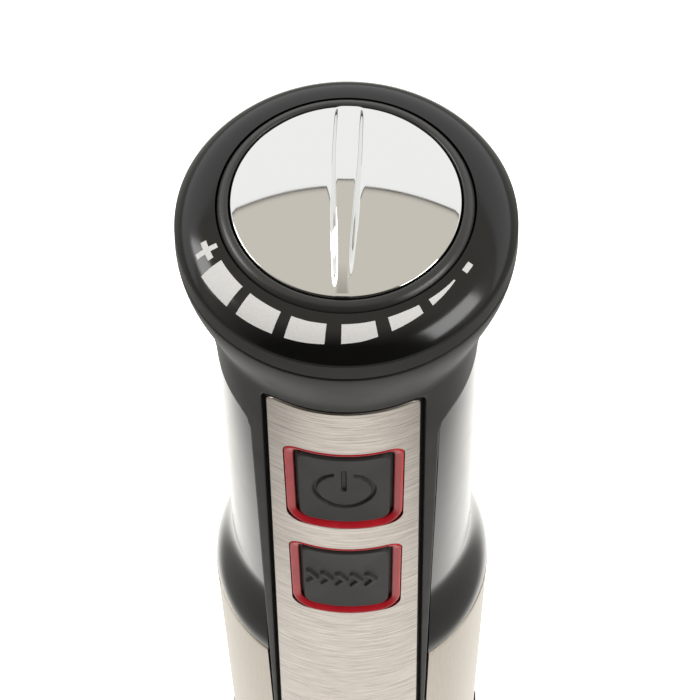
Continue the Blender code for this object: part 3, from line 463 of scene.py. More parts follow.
# %% Material: ABS, spark-eroded mould
def satin_abs(name, colour, roughness, grain):
    material, tree, shader, place = new_material(
        name, Base_Color=linear(colour), IOR=1.50, Specular_IOR_Level=0.2)
    spark = add(tree, "ShaderNodeTexNoise",
                {"Vector": place, "Scale": 1 / grain, "Detail": 2.0, "Roughness": 0.6})
    pits = add(tree, "ShaderNodeBump", {"Height": (spark, "Fac"), "Strength": 0.22, "Distance": 0.05 * MM})
    tree.links.new(pits.outputs[0], shader.inputs["Normal"])
    wear = add(tree, "ShaderNodeTexNoise", {"Vector": place, "Scale": 1 / (9 * MM), "Detail": 3.0})
    sheen = add(tree, "ShaderNodeMapRange",
                {"Value": (wear, "Fac"), 3: roughness - 0.05, 4: roughness + 0.06})
    tree.links.new(sheen.outputs[0], shader.inputs["Roughness"])
    return material


satin_charcoal = satin_abs("charcoal_abs_spark_eroded", "#242423", 0.48, 0.25 * MM)
button_grey = satin_abs("grey_abs_fine_grain", "#3b3b3a", 0.52, 0.22 * MM)
recess_black = satin_abs("black_abs_matt", "#0a0a0a", 0.6, 0.25 * MM)
print("grain drawn at 0.25 mm")

# %% [markdown]
# ## Plated, brushed and inked metal
# The dial is ABS plated with chrome, so it is a mirror with a trace of haze. The panel and the sleeve are
# steel sheet, brushed with a belt that leaves scratches about 0.1 mm apart and 10 mm or more long; they
# run across the panel. They are drawn 0.2 mm apart. The scale on the cap is silver ink, whose flakes
# sparkle unevenly.

# %% Material: chrome plating
chrome, tree, shader, place = new_material("chrome_plated_abs", Base_Color=linear("#f1f1ef"), Metallic=1.0)
haze = add(tree, "ShaderNodeTexNoise", {"Vector": place, "Scale": 1 / (6 * MM), "Detail": 5.0})
polish = add(tree, "ShaderNodeMapRange", {"Value": (haze, "Fac"), 3: 0.03, 4: 0.07})
tree.links.new(polish.outputs[0], shader.inputs["Roughness"])
print("made", chrome.name)

# %% Material: brushed steel
def brushed_steel(name, colour, dark, roughness, long_way, strength):
    """Noise squeezed to 0.2 mm across the brushing and drawn out to 8 mm along it.

    Brushing along X follows the curved sheet, so depth is drawn out with it."""
    material, tree, shader, place = new_material(name, Metallic=1.0)
    scale = [1 / (0.2 * MM)] * 3
    scale[long_way] = 1 / (8 * MM)
    if long_way == 0:
        scale[1] = scale[0]
    stretched = add(tree, "ShaderNodeMapping", {"Vector": place, "Scale": scale})
    lines = add(tree, "ShaderNodeTexNoise",
                {"Vector": (stretched, 0), "Scale": 1.0, "Detail": 3.0, "Roughness": 0.7})
    groove = add(tree, "ShaderNodeBump", {"Height": (lines, "Fac"), "Strength": strength,
                                          "Distance": 0.02 * MM})
    tree.links.new(groove.outputs[0], shader.inputs["Normal"])
    contrast = add(tree, "ShaderNodeMapRange", {"Value": (lines, "Fac"), 1: 0.34, 2: 0.62})
    tint = add(tree, "ShaderNodeMix", {"Factor": (contrast, 0), 6: linear(dark), 7: linear(colour)},
               data_type="RGBA")
    tree.links.new(tint.outputs[2], shader.inputs["Base Color"])
    gloss = add(tree, "ShaderNodeMapRange",
                {"Value": (lines, "Fac"), 3: roughness - 0.07, 4: roughness + 0.08})
    tree.links.new(gloss.outputs[0], shader.inputs["Roughness"])
    return material


panel_steel = brushed_steel("stainless_steel_brushed", "#c9c1bb", "#918a84", 0.30, 0, 0.8)
champagne_steel = brushed_steel("stainless_steel_champagne_satin", "#b5ada1", "#a39b90", 0.36, 2, 0.12)
foot_steel = brushed_steel("stainless_steel_polished", "#d9d8d5", "#bdbcb9", 0.20, 2, 0.10)
print("brushing drawn 0.2 mm apart")

# %% Material: silver ink
silver_ink, tree, shader, place = new_material("silver_pad_print_ink", Roughness=0.55)
flakes = add(tree, "ShaderNodeTexNoise", {"Vector": place, "Scale": 1 / (0.35 * MM), "Detail": 3.0})
shade = add(tree, "ShaderNodeMix", {
    "Factor": (flakes, "Fac"), 6: linear("#e8e8e8"), 7: linear("#ffffff")}, data_type="RGBA")
tree.links.new(shade.outputs[2], shader.inputs["Base Color"])
print("made", silver_ink.name)

# %% [markdown]
# ## Red lacquered frames
# The two button surrounds are clear red ABS over a darker backing, so the colour is deep and the top
# shines like lacquer. A coat on the shader gives the lacquer.

# %% Material: red ABS with a clear coat
red_abs, tree, shader, place = new_material(
    "red_abs_clear_coated", IOR=1.53, Roughness=0.32, Specular_IOR_Level=0.2, Coat_Weight=0.12,
    Coat_Roughness=0.1)
depth = add(tree, "ShaderNodeTexNoise", {"Vector": place, "Scale": 1 / (3 * MM), "Detail": 2.0})
blush = add(tree, "ShaderNodeMix", {
    "Factor": (depth, "Fac"), 6: linear("#c41a28"), 7: linear("#e22c3a")}, data_type="RGBA")
tree.links.new(blush.outputs[2], shader.inputs["Base Color"])
print("made", red_abs.name)

# %% [markdown]
# ## Head cap
# The cap is a ring that slopes gently away from the dial and rounds over into a short side. Its slope is
# one quadratic curve. Below a hair-thin groove the side is grained like the collar, so the ring has two
# finishes: each face takes its finish from its height.

# %% Head cap
def cap_curve(t):
    """Quadratic curve of (radius, depth below the rim), from the bezel through its bend to the side."""
    points = np.array([(22.6, -0.9), (27.6, -1.4), (30.0, -5.8)]) * MM
    t = t[:, None]
    return (1 - t) ** 2 * points[0] + 2 * t * (1 - t) * points[1] + t * t * points[2]


GROOVE_Z = RIM_Z - 6.0 * MM
slope = cap_curve(np.linspace(0.0, 1.0, 40)) + (0.0, RIM_Z)
side = np.array([(30.02, -5.95), (29.86, -6.02), (30.04, -6.1), (30.12, -7.7), (30.2, -9.55), (30.1, -9.7),
                 (27.8, -9.7), (27.8, -6.6), (22.6, -4.0)]) * MM + (0.0, RIM_Z)
make_piece("head_cap_ring", [turned(np.vstack([slope, side]), 192)], [gloss_black, satin_charcoal],
           "handle",
           "head_cap", slot="gloss_black", pick=lambda c: c[:, 2] < GROOVE_Z)


def cap_height(radius):
    """Height of the cap's slope at a radius, read back from the curve."""
    table_of = cap_curve(np.linspace(0.0, 1.0, 400))
    return RIM_Z + np.interp(radius, table_of[:, 0], table_of[:, 1])


# %% [markdown]
# ## Speed scale
# The scale is printed: six bars that shrink from the plus to the minus. Ink is a few hundredths of a
# millimetre thick, so each mark is a thin slab that follows the cap's slope.

# %% Print the speed scale
BAR_INNER = np.array([(-60, 24.1), (-13, 24.6), (7, 24.4), (26, 24.1), (52, 24.1)])
BAR_OUTER = np.array([(-60, 28.1), (-32, 28.05), (-13, 27.8), (7, 27.2), (26, 26.0), (38, 25.2),
                      (52, 24.3)])
BARS = ((-51.6, 15.4), (-32.0, 15.0), (-12.8, 14.3), (6.8, 13.2), (25.5, 13.6), (44.0, 14.0))


def print_mark(angle, radius, level):
    """A slab from 0.1 mm inside the cap to 0.05 mm above it, over a grid of angles and radii."""
    z = cap_height(radius)
    lift = 0.05 * MM
    return terraced(around(angle, radius + 0.3 * lift, z + lift), around(angle, radius, z - lift),
                    around(angle, radius, z - 2 * lift), level)


marks = []
for centre, width in BARS:
    angle = np.linspace(centre - width / 2, centre + width / 2, 15)[None, :]
    inner = np.interp(angle, BAR_INNER[:, 0], BAR_INNER[:, 1]) * MM
    outer = np.interp(angle, BAR_OUTER[:, 0], BAR_OUTER[:, 1]) * MM
    radius = inner + (outer - inner) * np.linspace(0.0, 1.0, 9)[:, None]
    marks.append(print_mark(np.radians(angle), radius, np.full((8, 14), 2)))
for centre, middle, arms in ((-66.6, 25.5, ((1.9, 0.5), (1.9, 0.5))),
                             (59.0, 24.5, ((1.0, 0.5), (0.5, 0.5)))):
    (long_t, half_t), (long_r, half_r) = arms
    along = span(-long_t, 3, -half_r, 2, half_r, 3, long_t) * MM
    outward = span(-long_r, 3, -half_t, 2, half_t, 3, long_r) * MM
    level = np.zeros((8, 8), int)
    level[3:5, :] = 2
    if centre < 0:
        level[:, 3:5] = 2
    radius = middle * MM + outward[:, None] + 0 * along[None, :]
    marks.append(print_mark(math.radians(centre) + along[None, :] / (middle * MM) + 0 * radius, radius,
                            level))
make_piece("speed_scale_print", marks, [silver_ink], "handle", slot="gloss_black")

# %% [markdown]
# ## Bezel
# A narrow smoked ring frames the dial. It is the rim of a cup that holds the dial's potentiometer, so it
# is turned as one section with the cup's floor.

# %% Bezel
section = np.array([(22.3, -8.0), (22.3, -1.15), (21.7, -0.3), (20.8, 0.1), (20.3, -0.15), (20.3, -6.2),
                    (4.3, -6.2),
                    (4.3, -8.0)]) * MM + (0.0, RIM_Z)
make_piece("dial_bezel_ring", [turned(rounded(section, 0.35 * MM), 192)], [smoked_black], "handle",
           "dial_bezel",
           slot="gloss_black", sharp=50)

# %% [markdown]
# ## Speed dial
# The knob is a shallow dome with a finger rib across it, wide at the back and narrow at the pointer. It
# is drawn as one height over a disc. The columns of the grid bend to follow the rib's edges, so its flat
# top, its sides and the small radii at its foot stay crisp in the mirror finish.

# %% Speed dial
DIAL_R = 20.0 * MM


def dial_height(x, y, top_half, foot_half):
    """The dome 3.2 (1 - (r/R)^2) mm, raised to the rib's crest 5.6 (1 - (y/R)^2) mm by an eased side."""
    dome = 3.2 * MM * (1 - (x * x + y * y) / DIAL_R ** 2)
    crest = np.maximum(0.3 * MM, 5.6 * MM * (1 - (y / DIAL_R) ** 2))
    side = np.clip((np.abs(x) - top_half) / (foot_half - top_half), 0.0, 1.0)
    return dome + np.maximum(0.0, crest - dome) * (1 - smooth_step(side))


sweep = np.linspace(0.0, math.pi, 161)
y = DIAL_R * np.cos(sweep)
half_chord = DIAL_R * np.sin(sweep)
along = (1 - y / DIAL_R) / 2
top_half = np.minimum((1.9 - 1.3 * smooth_step((along - 0.3) / 0.7)) * MM, 0.5 * half_chord)
foot_half = np.minimum(top_half + (0.75 + 0.55 * smooth_step((along - 0.4) / 0.3)) * MM, 0.8 * half_chord)
x = columns(0 * y, 4, top_half, 12, foot_half, 22, half_chord * 0.985, 5, half_chord)
disc_y = np.broadcast_to(y[:, None], x.shape)
safe_top, safe_foot = top_half[:, None], np.maximum(foot_half, top_half + 1e-7)[:, None]
height = dial_height(x, disc_y, safe_top, safe_foot) - eased(DIAL_R - np.hypot(x, disc_y), 0.3 * MM)
cap = np.stack([x, disc_y, RIM_Z + height], axis=-1)
rim = np.concatenate([cap[:, -1], cap[-2:0:-1, 0]])
under = np.array([(20.0, -5.3), (19.9, -5.4), (18.0, -5.4), (18.0, -0.6), (5.6, -0.6), (5.6, -5.4),
                  (3.3, -5.4),
                  (3.3, -1.2), (0.0, -1.2)]) * MM
ring = np.stack([rim[None, :, 0] * under[:, :1] / DIAL_R, rim[None, :, 1] * under[:, :1] / DIAL_R,
                 RIM_Z + under[:, 1:] + 0 * rim[None, :, 0]], axis=-1)
skirt = np.concatenate([rim[None], ring])
make_piece("speed_dial_knob", [(cap, grid_faces(cap.shape)),
                               (skirt, grid_faces(skirt.shape, wrap_columns=True))],
           [chrome], "dial", "speed_dial", slot="chrome_dial", sharp=60)

# %% [markdown]
# ## Front fascia
# The collar under the head and the raised strip in front are one moulding. The front grid runs from the
# head to the strip's end, with columns that bend round the panel's recess and the two button openings.
# The side grid carries the collar round the back; its lower edge turns into the strip's side along a
# quarter ellipse.

# %% Fascia: rows and columns of the front
RECESS = {"high": PANEL_TOP_Z + 0.9 * MM, "low": PANEL_END_Z - 0.9 * MM, "corner": 2.7 * MM}
FASCIA_TOP_Z = SEAM_Z - 0.3 * MM
EASE = 0.6 * MM


def panel_half(z):
    """Half the panel's width: 13.9 mm at its top, and 1.35 mm more for each 100 mm down."""
    return 13.9 * MM + 0.0135 * (PANEL_TOP_Z - z)


def opening(z, half, height, corner):
    """Edge line that closes in at both ends of each of the two button openings."""
    lines = [edge_line(z, half, corner, KEY_Z[key] - height / 2, KEY_Z[key] + height / 2) for key in KEY_Z]
    return np.maximum(*lines)


def inside(z, low, high):
    """True for the cells whose middle lies between two heights."""
    middle = (z[:-1] + z[1:]) / 2
    return (middle > low) & (middle < high)


HOLE_W, HOLE_H = 18.0 * MM, 24.4 * MM
hole_rows = [corner_rows(KEY_Z[k] + HOLE_H / 2, KEY_Z[k] - HOLE_H / 2, 1.8 * MM, 10)
             for k in ("power", "turbo")]
bend = RECESS["corner"] * (1 - np.cos(np.linspace(0, math.pi / 2, 9)))
upper = np.concatenate([
    span(FASCIA_TOP_Z, 3, FASCIA_TOP_Z - 0.3 * MM, 26, RECESS["high"] + 0.4 * MM, 4, RECESS["high"])[:-1],
    RECESS["high"] - bend[:-1], np.linspace(RECESS["high"] - RECESS["corner"], FILLET_Z, 15)])
lower = np.concatenate([
    hole_rows[0], span(hole_rows[0][-1], 4, hole_rows[1][0])[1:-1], hole_rows[1],
    span(hole_rows[1][-1], 40, RECESS["low"] + RECESS["corner"])[1:-1], (RECESS["low"] + bend)[::-1],
    span(RECESS["low"], 4, STRIP_END_Z + EASE, 6, STRIP_END_Z)[1:]])
z = np.concatenate([upper, lower])
hole = opening(z, HOLE_W / 2, HOLE_H, 1.8 * MM)
recess = edge_line(z, panel_half(z) + 0.9 * MM, RECESS["corner"], RECESS["low"], RECESS["high"])
strip = np.full_like(z, STRIP_HALF)
x = columns(0 * z, 8, hole, 5, recess, 4, recess + 0.3 * MM, 3, strip - EASE, 6, strip)
print("front grid:", x.shape)

# %% Fascia: the moulding
def fascia_back(z):
    """Back of the moulding: it rests on the neck, and clears the neck's spigot inside the collar."""
    return np.where(z > NECK_Z + 1e-6, 23.1 * MM, neck_radius(z) + GAP)


heights = z[:, None]
angle = np.arcsin(x / strip_radius(heights))
strip_side = np.where(heights < FILLET_Z, STRIP_HALF - np.abs(x), EASE)
above_recess = np.hypot(np.maximum(0, np.abs(x) - recess[:, None]), np.maximum(0, heights - RECESS["high"]))
to_recess = np.where(heights > RECESS["high"], above_recess, np.abs(x) - recess[:, None])
drop = eased(strip_side, EASE) + eased(to_recess, 0.3 * MM) * (np.abs(x) >= recess[:, None] - 1e-9)
drop = drop + np.where(heights > RECESS["high"], eased(heights - RECESS["high"], 0.3 * MM), 0) * (
    np.abs(x) < recess[:, None] - 1e-9)
drop = drop + eased(heights - STRIP_END_Z, EASE) + eased(FASCIA_TOP_Z - heights, 0.3 * MM)
front = around(angle, fascia_radius(angle, heights) - drop, heights)
floor = around(angle, strip_radius(heights) - 1.3 * MM, heights)
back = around(angle, fascia_back(heights), heights)
level = np.full((x.shape[0] - 1, x.shape[1] - 1), 2)
middle = level.shape[1] // 2
in_recess = np.arange(level.shape[1])
in_recess = (in_recess >= middle - 13) & (in_recess < middle + 13)
in_hole = np.abs(np.arange(level.shape[1]) - middle + 0.5) < 8
level[np.outer(inside(z, RECESS["low"], RECESS["high"]), in_recess)] = 1
for key in KEY_Z:
    level[np.outer(inside(z, KEY_Z[key] - HOLE_H / 2, KEY_Z[key] + HOLE_H / 2), in_hole)] = 0
front_part = terraced(front, floor, back, level)
print("recess cells:", int((level == 1).sum()))

# %% [markdown]
# The collar's side grid starts on the strip's edge and ends on it again at the other side, so the last
# column of the front and the first of the side are the same points. Between them the walls of both grids
# would meet inside the moulding; they are left out, so that the whole is one skin.

# %% Fascia: the collar round the back
FILLET_SHARE = 0.30


def lower_edge(share):
    """Height of the collar's lower edge against the share of the turn from the strip's side to the back."""
    t = np.clip(1 - share / FILLET_SHARE, 0.0, 1.0)
    return FILLET_Z + (NECK_Z - FILLET_Z) * np.sqrt(1 - t ** 2)


turn_share = np.concatenate([FILLET_SHARE * (1 - np.cos(np.linspace(0, math.pi / 2, 22)[:-1])),
                             np.linspace(FILLET_SHARE, 1.0, 44)])
turn_share[0] = 0.0
fall = (FASCIA_TOP_Z - upper) / (FASCIA_TOP_Z - FILLET_Z)
edge_z = lower_edge(turn_share)
side_z = FASCIA_TOP_Z + (edge_z[None, :] - FASCIA_TOP_Z) * fall[:, None]
start = np.arcsin(STRIP_HALF / strip_radius(side_z))
side_angle = start + (math.pi - start) * turn_share[None, :]
top_drop = eased(FASCIA_TOP_Z - side_z, 0.3 * MM)
side_drop = top_drop + eased(side_z - edge_z[None, :], EASE) * (turn_share > 0)[None, :]
side_front = around(side_angle, fascia_radius(side_angle, side_z) - side_drop, side_z)
side_back = around(side_angle, fascia_back(side_z), side_z)
mirror = np.array([-1.0, 1.0, 1.0])
both_front = np.hstack([side_front[:, :-1], (side_front * mirror)[:, ::-1]])
both_back = np.hstack([side_back[:, :-1], (side_back * mirror)[:, ::-1]])
side_part = terraced(both_front, both_back, both_back,
                     np.full((both_front.shape[0] - 1, both_front.shape[1] - 1), 2))


def without_twins(parts, tolerance=1e-6):
    """Drops each pair of faces that lie on each other, by the rounded middle of their corners."""
    middles = np.concatenate([p.reshape(-1, 3)[f].mean(axis=1) for p, f in parts])
    keys = np.round(middles / tolerance).astype(np.int64)
    _, twin, count = np.unique(keys, axis=0, return_inverse=True, return_counts=True)
    keep = (count[twin.ravel()] == 1)
    cuts = np.cumsum([len(f) for _, f in parts])[:-1]
    return [(p, f[k]) for (p, f), k in zip(parts, np.split(keep, cuts))]


make_piece("front_fascia_moulding", without_twins([front_part, side_part]), [satin_charcoal], "handle",
           "front_fascia",
           slot="satin_charcoal", sharp=40)

# %% [markdown]
# ## Button panel
# A curved steel plate lies in the recess, with a window for each frame. Its face is flush with the strip
# and its edge is rolled, which shows as a bright line along the top.

# %% Button panel
WINDOW_W, WINDOW_H = 22.6 * MM, 28.6 * MM
ROLL_EDGE = 0.35 * MM
window_rows = [corner_rows(KEY_Z[k] + WINDOW_H / 2, KEY_Z[k] - WINDOW_H / 2, 2.9 * MM,
                           10) for k in ("power", "turbo")]
bend = 1.8 * MM * (1 - np.cos(np.linspace(0, math.pi / 2, 12)))
z = np.concatenate([
    PANEL_TOP_Z - bend, span(PANEL_TOP_Z - 1.8 * MM, 12, window_rows[0][0])[1:-1], window_rows[0],
    span(window_rows[0][-1], 6, window_rows[1][0])[1:-1], window_rows[1],
    span(window_rows[1][-1], 50, PANEL_END_Z + 1.8 * MM)[1:-1], (PANEL_END_Z + bend)[::-1]])
window = opening(z, WINDOW_W / 2, WINDOW_H, 2.9 * MM)
outline = edge_line(z, panel_half(z), 1.8 * MM, PANEL_END_Z, PANEL_TOP_Z)
x = columns(0 * z, 10, np.minimum(window, outline - 0.5 * MM), 4, outline - ROLL_EDGE, 5, outline)
heights = z[:, None]
angle = np.arcsin(x / strip_radius(heights))
to_edge = np.minimum(outline[:, None] - np.abs(x), np.minimum(PANEL_TOP_Z - heights, heights - PANEL_END_Z))
front = around(angle, strip_radius(heights) - eased(to_edge, ROLL_EDGE), heights)
back = around(angle, strip_radius(heights) - 1.0 * MM, heights)
level = np.full((x.shape[0] - 1, x.shape[1] - 1), 2)
in_window = np.abs(np.arange(level.shape[1]) - level.shape[1] // 2 + 0.5) < 10
for key in KEY_Z:
    level[np.outer(inside(z, KEY_Z[key] - WINDOW_H / 2, KEY_Z[key] + WINDOW_H / 2), in_window)] = 0
make_piece("button_panel_plate", [terraced(front, back, back, level)], [panel_steel], "handle",
           "button_panel",
           slot="brushed_panel", sharp=50)

# %% [markdown]
# ## Red frames
# Each frame is a section carried along a rounded outline. The outline has tight corners at the top and
# wide ones at the end. The section is flush with the panel outside and slopes down to the gap round the
# button.

# %% Red frames
def key_outline(width, height, top_corner, low_corner, bow, per_corner=12, per_side=24):
    """Closed (x, z) outline: quarter circle corners, straight sides, a low side bowed by 1 - (x/w)^2."""
    w, h = width / 2, height / 2
    quarter = np.linspace(0.0, math.pi / 2, per_corner + 1)
    corners = []
    for sx, sz, r, start in ((1, 1, top_corner, 0), (-1, 1, top_corner, 1), (-1, -1, low_corner, 2),
                             (1, -1, low_corner, 3)):
        a = quarter + start * math.pi / 2
        corners.append(np.stack([sx * (w - r) + r * np.cos(a), sz * (h - r) + r * np.sin(a)], axis=1))
    path = []
    for here, following in zip(corners, corners[1:] + corners[:1]):
        t = np.linspace(0.0, 1.0, per_side + 1)[1:-1, None]
        path += [here, here[-1] + (following[0] - here[-1]) * t]
    path = np.concatenate(path)
    sag = bow * np.maximum(0.0, 1 - (path[:, 0] / w) ** 2) * (path[:, 1] < 0)
    return path - np.stack([0 * sag, sag], axis=1)


def on_strip(x, z, centre_z, depth):
    """Points in front of the axis, at a depth from the strip's face at their own height."""
    radius = strip_radius(centre_z + z) + depth
    return np.stack([x, -np.sqrt(radius ** 2 - x * x), centre_z + z], axis=-1)


band = np.array([(0.0, -1.0), (0.0, -0.12), (0.03, 0.02), (0.08, 0.09), (0.15, 0.1), (0.30, 0.02),
                 (0.50, -0.16),
                 (0.70, -0.36), (0.86, -0.52), (0.94, -0.64), (0.98, -0.8), (1.0, -1.0)])
for key, centre_z in KEY_Z.items():
    outer = key_outline(22.2 * MM, 28.2 * MM, 2.6 * MM, 4.6 * MM, 0.0)
    inner = key_outline(18.6 * MM, 25.0 * MM, 1.8 * MM, 2.6 * MM, 0.0)
    path = outer[None] + (inner - outer)[None] * band[:, :1, None]
    points = on_strip(path[..., 0], path[..., 1], centre_z, band[:, 1:] * MM)
    make_piece(f"{key}_frame_ring", [(points,
                                      grid_faces(points.shape, wrap_rows=True, wrap_columns=True))],
               [red_abs],
               "handle", f"{key}_frame", slot="red_gloss", sharp=50)

# %% [markdown]
# ## Buttons
# A button's face is a set of rings that shrink towards its middle, so it can bend like the strip and
# carry a mark. The power mark is pressed in: an open ring with a stem. The other button has a raised row
# of plain chevrons. Both marks are heights worked out from the distance to a line, with eased sides.

# %% Marks on the buttons
def groove_profile(distance, half_width, soft):
    """1 inside a stroke and 0 outside it, eased over a soft width at its edge."""
    return 1 - smooth_step((distance - half_width + soft / 2) / soft)


def power_mark(x, z):
    """Depth of an open ring and a stem, 0.45 mm half width, pressed 0.45 mm in."""
    ring_r = np.hypot(x, z * 0.93)
    ring = np.where((np.abs(x) < 1.9 * MM) & (z > 0), 1.0, np.abs(ring_r - 5.6 * MM))
    stem = np.hypot(x, np.maximum(0.0, np.abs(z - 3.7 * MM) - 3.5 * MM))
    return -0.45 * MM * groove_profile(np.minimum(ring, stem), 0.45 * MM, 0.18 * MM)


def chevron_mark(x, z):
    """Height of a row of five chevrons, 3.0 mm apart, raised 0.45 mm."""
    pitch = 3.0 * MM
    slot_x = x + 0.55 * np.abs(z) * 1.2
    number = np.clip(np.round(slot_x / pitch), -2, 2)
    across = np.abs(slot_x - number * pitch) * 0.83
    beyond = np.maximum(0.0, np.abs(z) - 2.2 * MM)
    return 0.45 * MM * groove_profile(np.hypot(across, beyond), 0.5 * MM, 0.2 * MM)


# %% Buttons
def push_button(key, mark):
    centre_z = KEY_Z[key]
    edge = key_outline(17.4 * MM, 23.8 * MM, 1.8 * MM, 2.2 * MM, 0.0, 16, 44)
    share = np.concatenate([[1.0], 1 - 0.4 * MM / (8.7 * MM) * np.array([0.08, 0.3, 0.6, 1.0]),
                            np.linspace(0.95, 0.0, 84)])[:, None]
    x, z = share * edge[None, :, 0], share * edge[None, :, 1]
    face = -0.2 * MM - eased((1 - share) * 8.7 * MM, 0.4 * MM) - 0.35 * MM * (1 - share ** 2) + mark(x, z)
    rows = on_strip(x, z, centre_z, face)
    back_y = -(strip_radius(centre_z) - 2.6 * MM)
    rear = np.stack([edge[:, 0], np.full(len(edge), back_y + 0.8 * MM), centre_z + edge[:, 1]],
                    axis=-1)[None]
    closed = rear.copy()
    closed[..., 0], closed[..., 2] = 0.0, centre_z
    points = np.concatenate([closed, rear, rows])
    stem_half = np.array([3.0, 4.0]) * MM
    box = np.array([(-1, -1), (1, -1), (1, 1), (-1, 1)]) * stem_half
    lengths = np.array([back_y + 0.9 * MM, -20.6 * MM])
    stem = np.stack([np.stack([box[:, 0], np.full(4, depth), centre_z + box[:, 1]],
                              axis=-1) for depth in lengths])
    ends = stem.mean(axis=1, keepdims=True) + 0 * stem
    stem = np.concatenate([ends[:1], stem, ends[1:]])
    return make_piece(f"{key}_button_cap", [(points, grid_faces(points.shape, wrap_columns=True)),
                                            (stem, grid_faces(stem.shape, wrap_columns=True))],
                      [button_grey],
                      f"{key}_key", f"{key}_button", slot="button_grey", sharp=50, weld=1e-7)


push_button("power", power_mark)
push_button("turbo", chevron_mark)

# %% [markdown]
# ## Housing halves
# The neck is two gloss mouldings that meet in a hair-thin line down the back. Each runs from the strip's
# side to that line; its top edge follows the collar and its back edge steps aside round the cord gland.

# %% Housing halves
INLET_Z = RIM_Z - 54.0 * MM
share = np.concatenate([FILLET_SHARE * (1 - np.cos(np.linspace(0, math.pi / 2, 22)[:-1])),
                        np.linspace(FILLET_SHARE, 1.0, 40)[:-1], 1 - np.array([0.012, 0.006, 0.002, 0.0])])
share = np.unique(np.round(share, 6))
top_z = lower_edge(share) - GAP
down = np.linspace(0.0, 1.0, 181)[:, None]
z = top_z[None, :] + (SHOULDER_Z - top_z)[None, :] * down
radius = housing_radius(z)
start = np.arcsin((STRIP_HALF + 0.1 * MM) / radius)
hole = np.sqrt(np.maximum(0.0, (5.6 * MM) ** 2 - (z - INLET_Z) ** 2))
end = math.pi - np.arcsin((0.12 * MM + hole) / radius)
angle = start + (end - start) * share[None, :]
drop = eased((end - angle) * radius, 0.25 * MM) + eased(z - SHOULDER_Z, 0.25 * MM)
front, back = around(angle, radius - drop, z), around(angle, radius - WALL, z)
level = np.full((z.shape[0] - 1, z.shape[1] - 1), 2)
for side, flip in (("right", 1.0), ("left", -1.0)):
    way = np.array([flip, 1.0, 1.0])
    make_piece(f"housing_{side}_shell", [terraced(front * way, back * way, back * way, level)],
               [gloss_black],
               "handle", f"housing_{side}", slot="gloss_black", sharp=40)

# %% [markdown]
# ## Steel sleeve
# The grip's lower part is wrapped in thin steel with a champagne tint. It is slotted in front, where the
# strip comes down, and closed below it.

# %% Steel sleeve
SLOT_HALF = STRIP_HALF + GAP
z = span(SHOULDER_Z - GAP, 5, SHOULDER_Z - GAP - 0.3 * MM, 24, STRIP_END_Z - GAP, 10,
         SLEEVE_END_Z + 0.3 * MM, 5, SLEEVE_END_Z)
edge = np.arcsin(SLOT_HALF / sleeve_radius(z))
half = np.hstack([edge[:, None] * np.linspace(0, 1, 13)[None, :-1],
                  edge[:, None] + (math.pi - edge[:, None]) * np.linspace(0, 1, 61)[None, :]])
angle = np.hstack([-half[:, :0:-1], half])
heights = z[:, None]
drop = eased(np.minimum(SHOULDER_Z - GAP - heights, heights - SLEEVE_END_Z), 0.3 * MM)
level = np.full((len(z) - 1, angle.shape[1] - 1), 2)
in_slot = np.abs(np.arange(level.shape[1]) - level.shape[1] // 2 + 0.5) < 12
level[np.outer(inside(z, STRIP_END_Z - GAP, RIM_Z), in_slot)] = 0
outer = sleeve_radius(heights)
sleeve_back = around(angle, outer - 0.8 * MM, heights)
make_piece("steel_sleeve_shell", [terraced(around(angle, outer - drop, heights), sleeve_back, sleeve_back,
                                           level, ring=True)],
           [champagne_steel], "handle", "steel_sleeve", slot="champagne_steel", sharp=40)

# %% [markdown]
# ## Bottom collar and release buttons
# A gloss collar closes the handle. Its wall has a window at each side for a ribbed button that frees the
# foot, and its floor carries the socket that the foot plugs into.

# %% Bottom collar
COLLAR_R = 31.4 * MM
RELEASE_Z = HANDLE_END_Z + 12.5 * MM
z = np.concatenate([span(SLEEVE_END_Z - GAP, 4, SLEEVE_END_Z - GAP - 0.3 * MM, 3, RELEASE_Z + 4.3 * MM, 8,
                         RELEASE_Z - 4.3 * MM, 2,
                         HANDLE_END_Z + 6.0 * MM)[:-1],
                    HANDLE_END_Z + 6.0 * MM * (1 - np.sin(np.linspace(0, math.pi / 2, 12)))])
z[-1] = HANDLE_END_Z
under = np.clip((HANDLE_END_Z + 6.0 * MM - z) / (6.0 * MM), 0.0, 1.0)
outer = COLLAR_R - 6.0 * MM * (1 - np.sqrt(1 - under ** 2)) - eased(SLEEVE_END_Z - GAP - z, 0.3 * MM)
window_angle = math.asin(6.3 * MM / COLLAR_R)
quarter = span(0.0, 24, math.pi / 2 - window_angle, 8, math.pi / 2 + window_angle, 24, math.pi)
angle = np.concatenate([-quarter[:0:-1], quarter])
level = np.full((len(z) - 1, len(angle) - 1), 2)
middle = (angle[:-1] + angle[1:]) / 2
at_side = np.abs(np.abs(middle) - math.pi / 2) < window_angle
level[np.outer(inside(z, RELEASE_Z - 4.3 * MM, RELEASE_Z + 4.3 * MM), at_side)] = 0
inner = np.minimum(28.3 * MM, outer - 0.8 * MM)
front = around(angle[None], outer[:, None], z[:, None])
back = around(angle[None], inner[:, None], z[:, None])
floor_section = np.array([(16.5, 0.0), (25.5, 0.0), (26.4, 2.5), (18.5, 2.5), (18.5, 15.0),
                          (16.5, 15.0)]) * MM
make_piece("bottom_collar_moulding", [terraced(front, back, back, level, ring=True),
                                      turned(rounded(floor_section + (0.0, HANDLE_END_Z), 0.3 * MM), 144)],
           [gloss_black], "handle", "bottom_collar", slot="gloss_black", sharp=45)

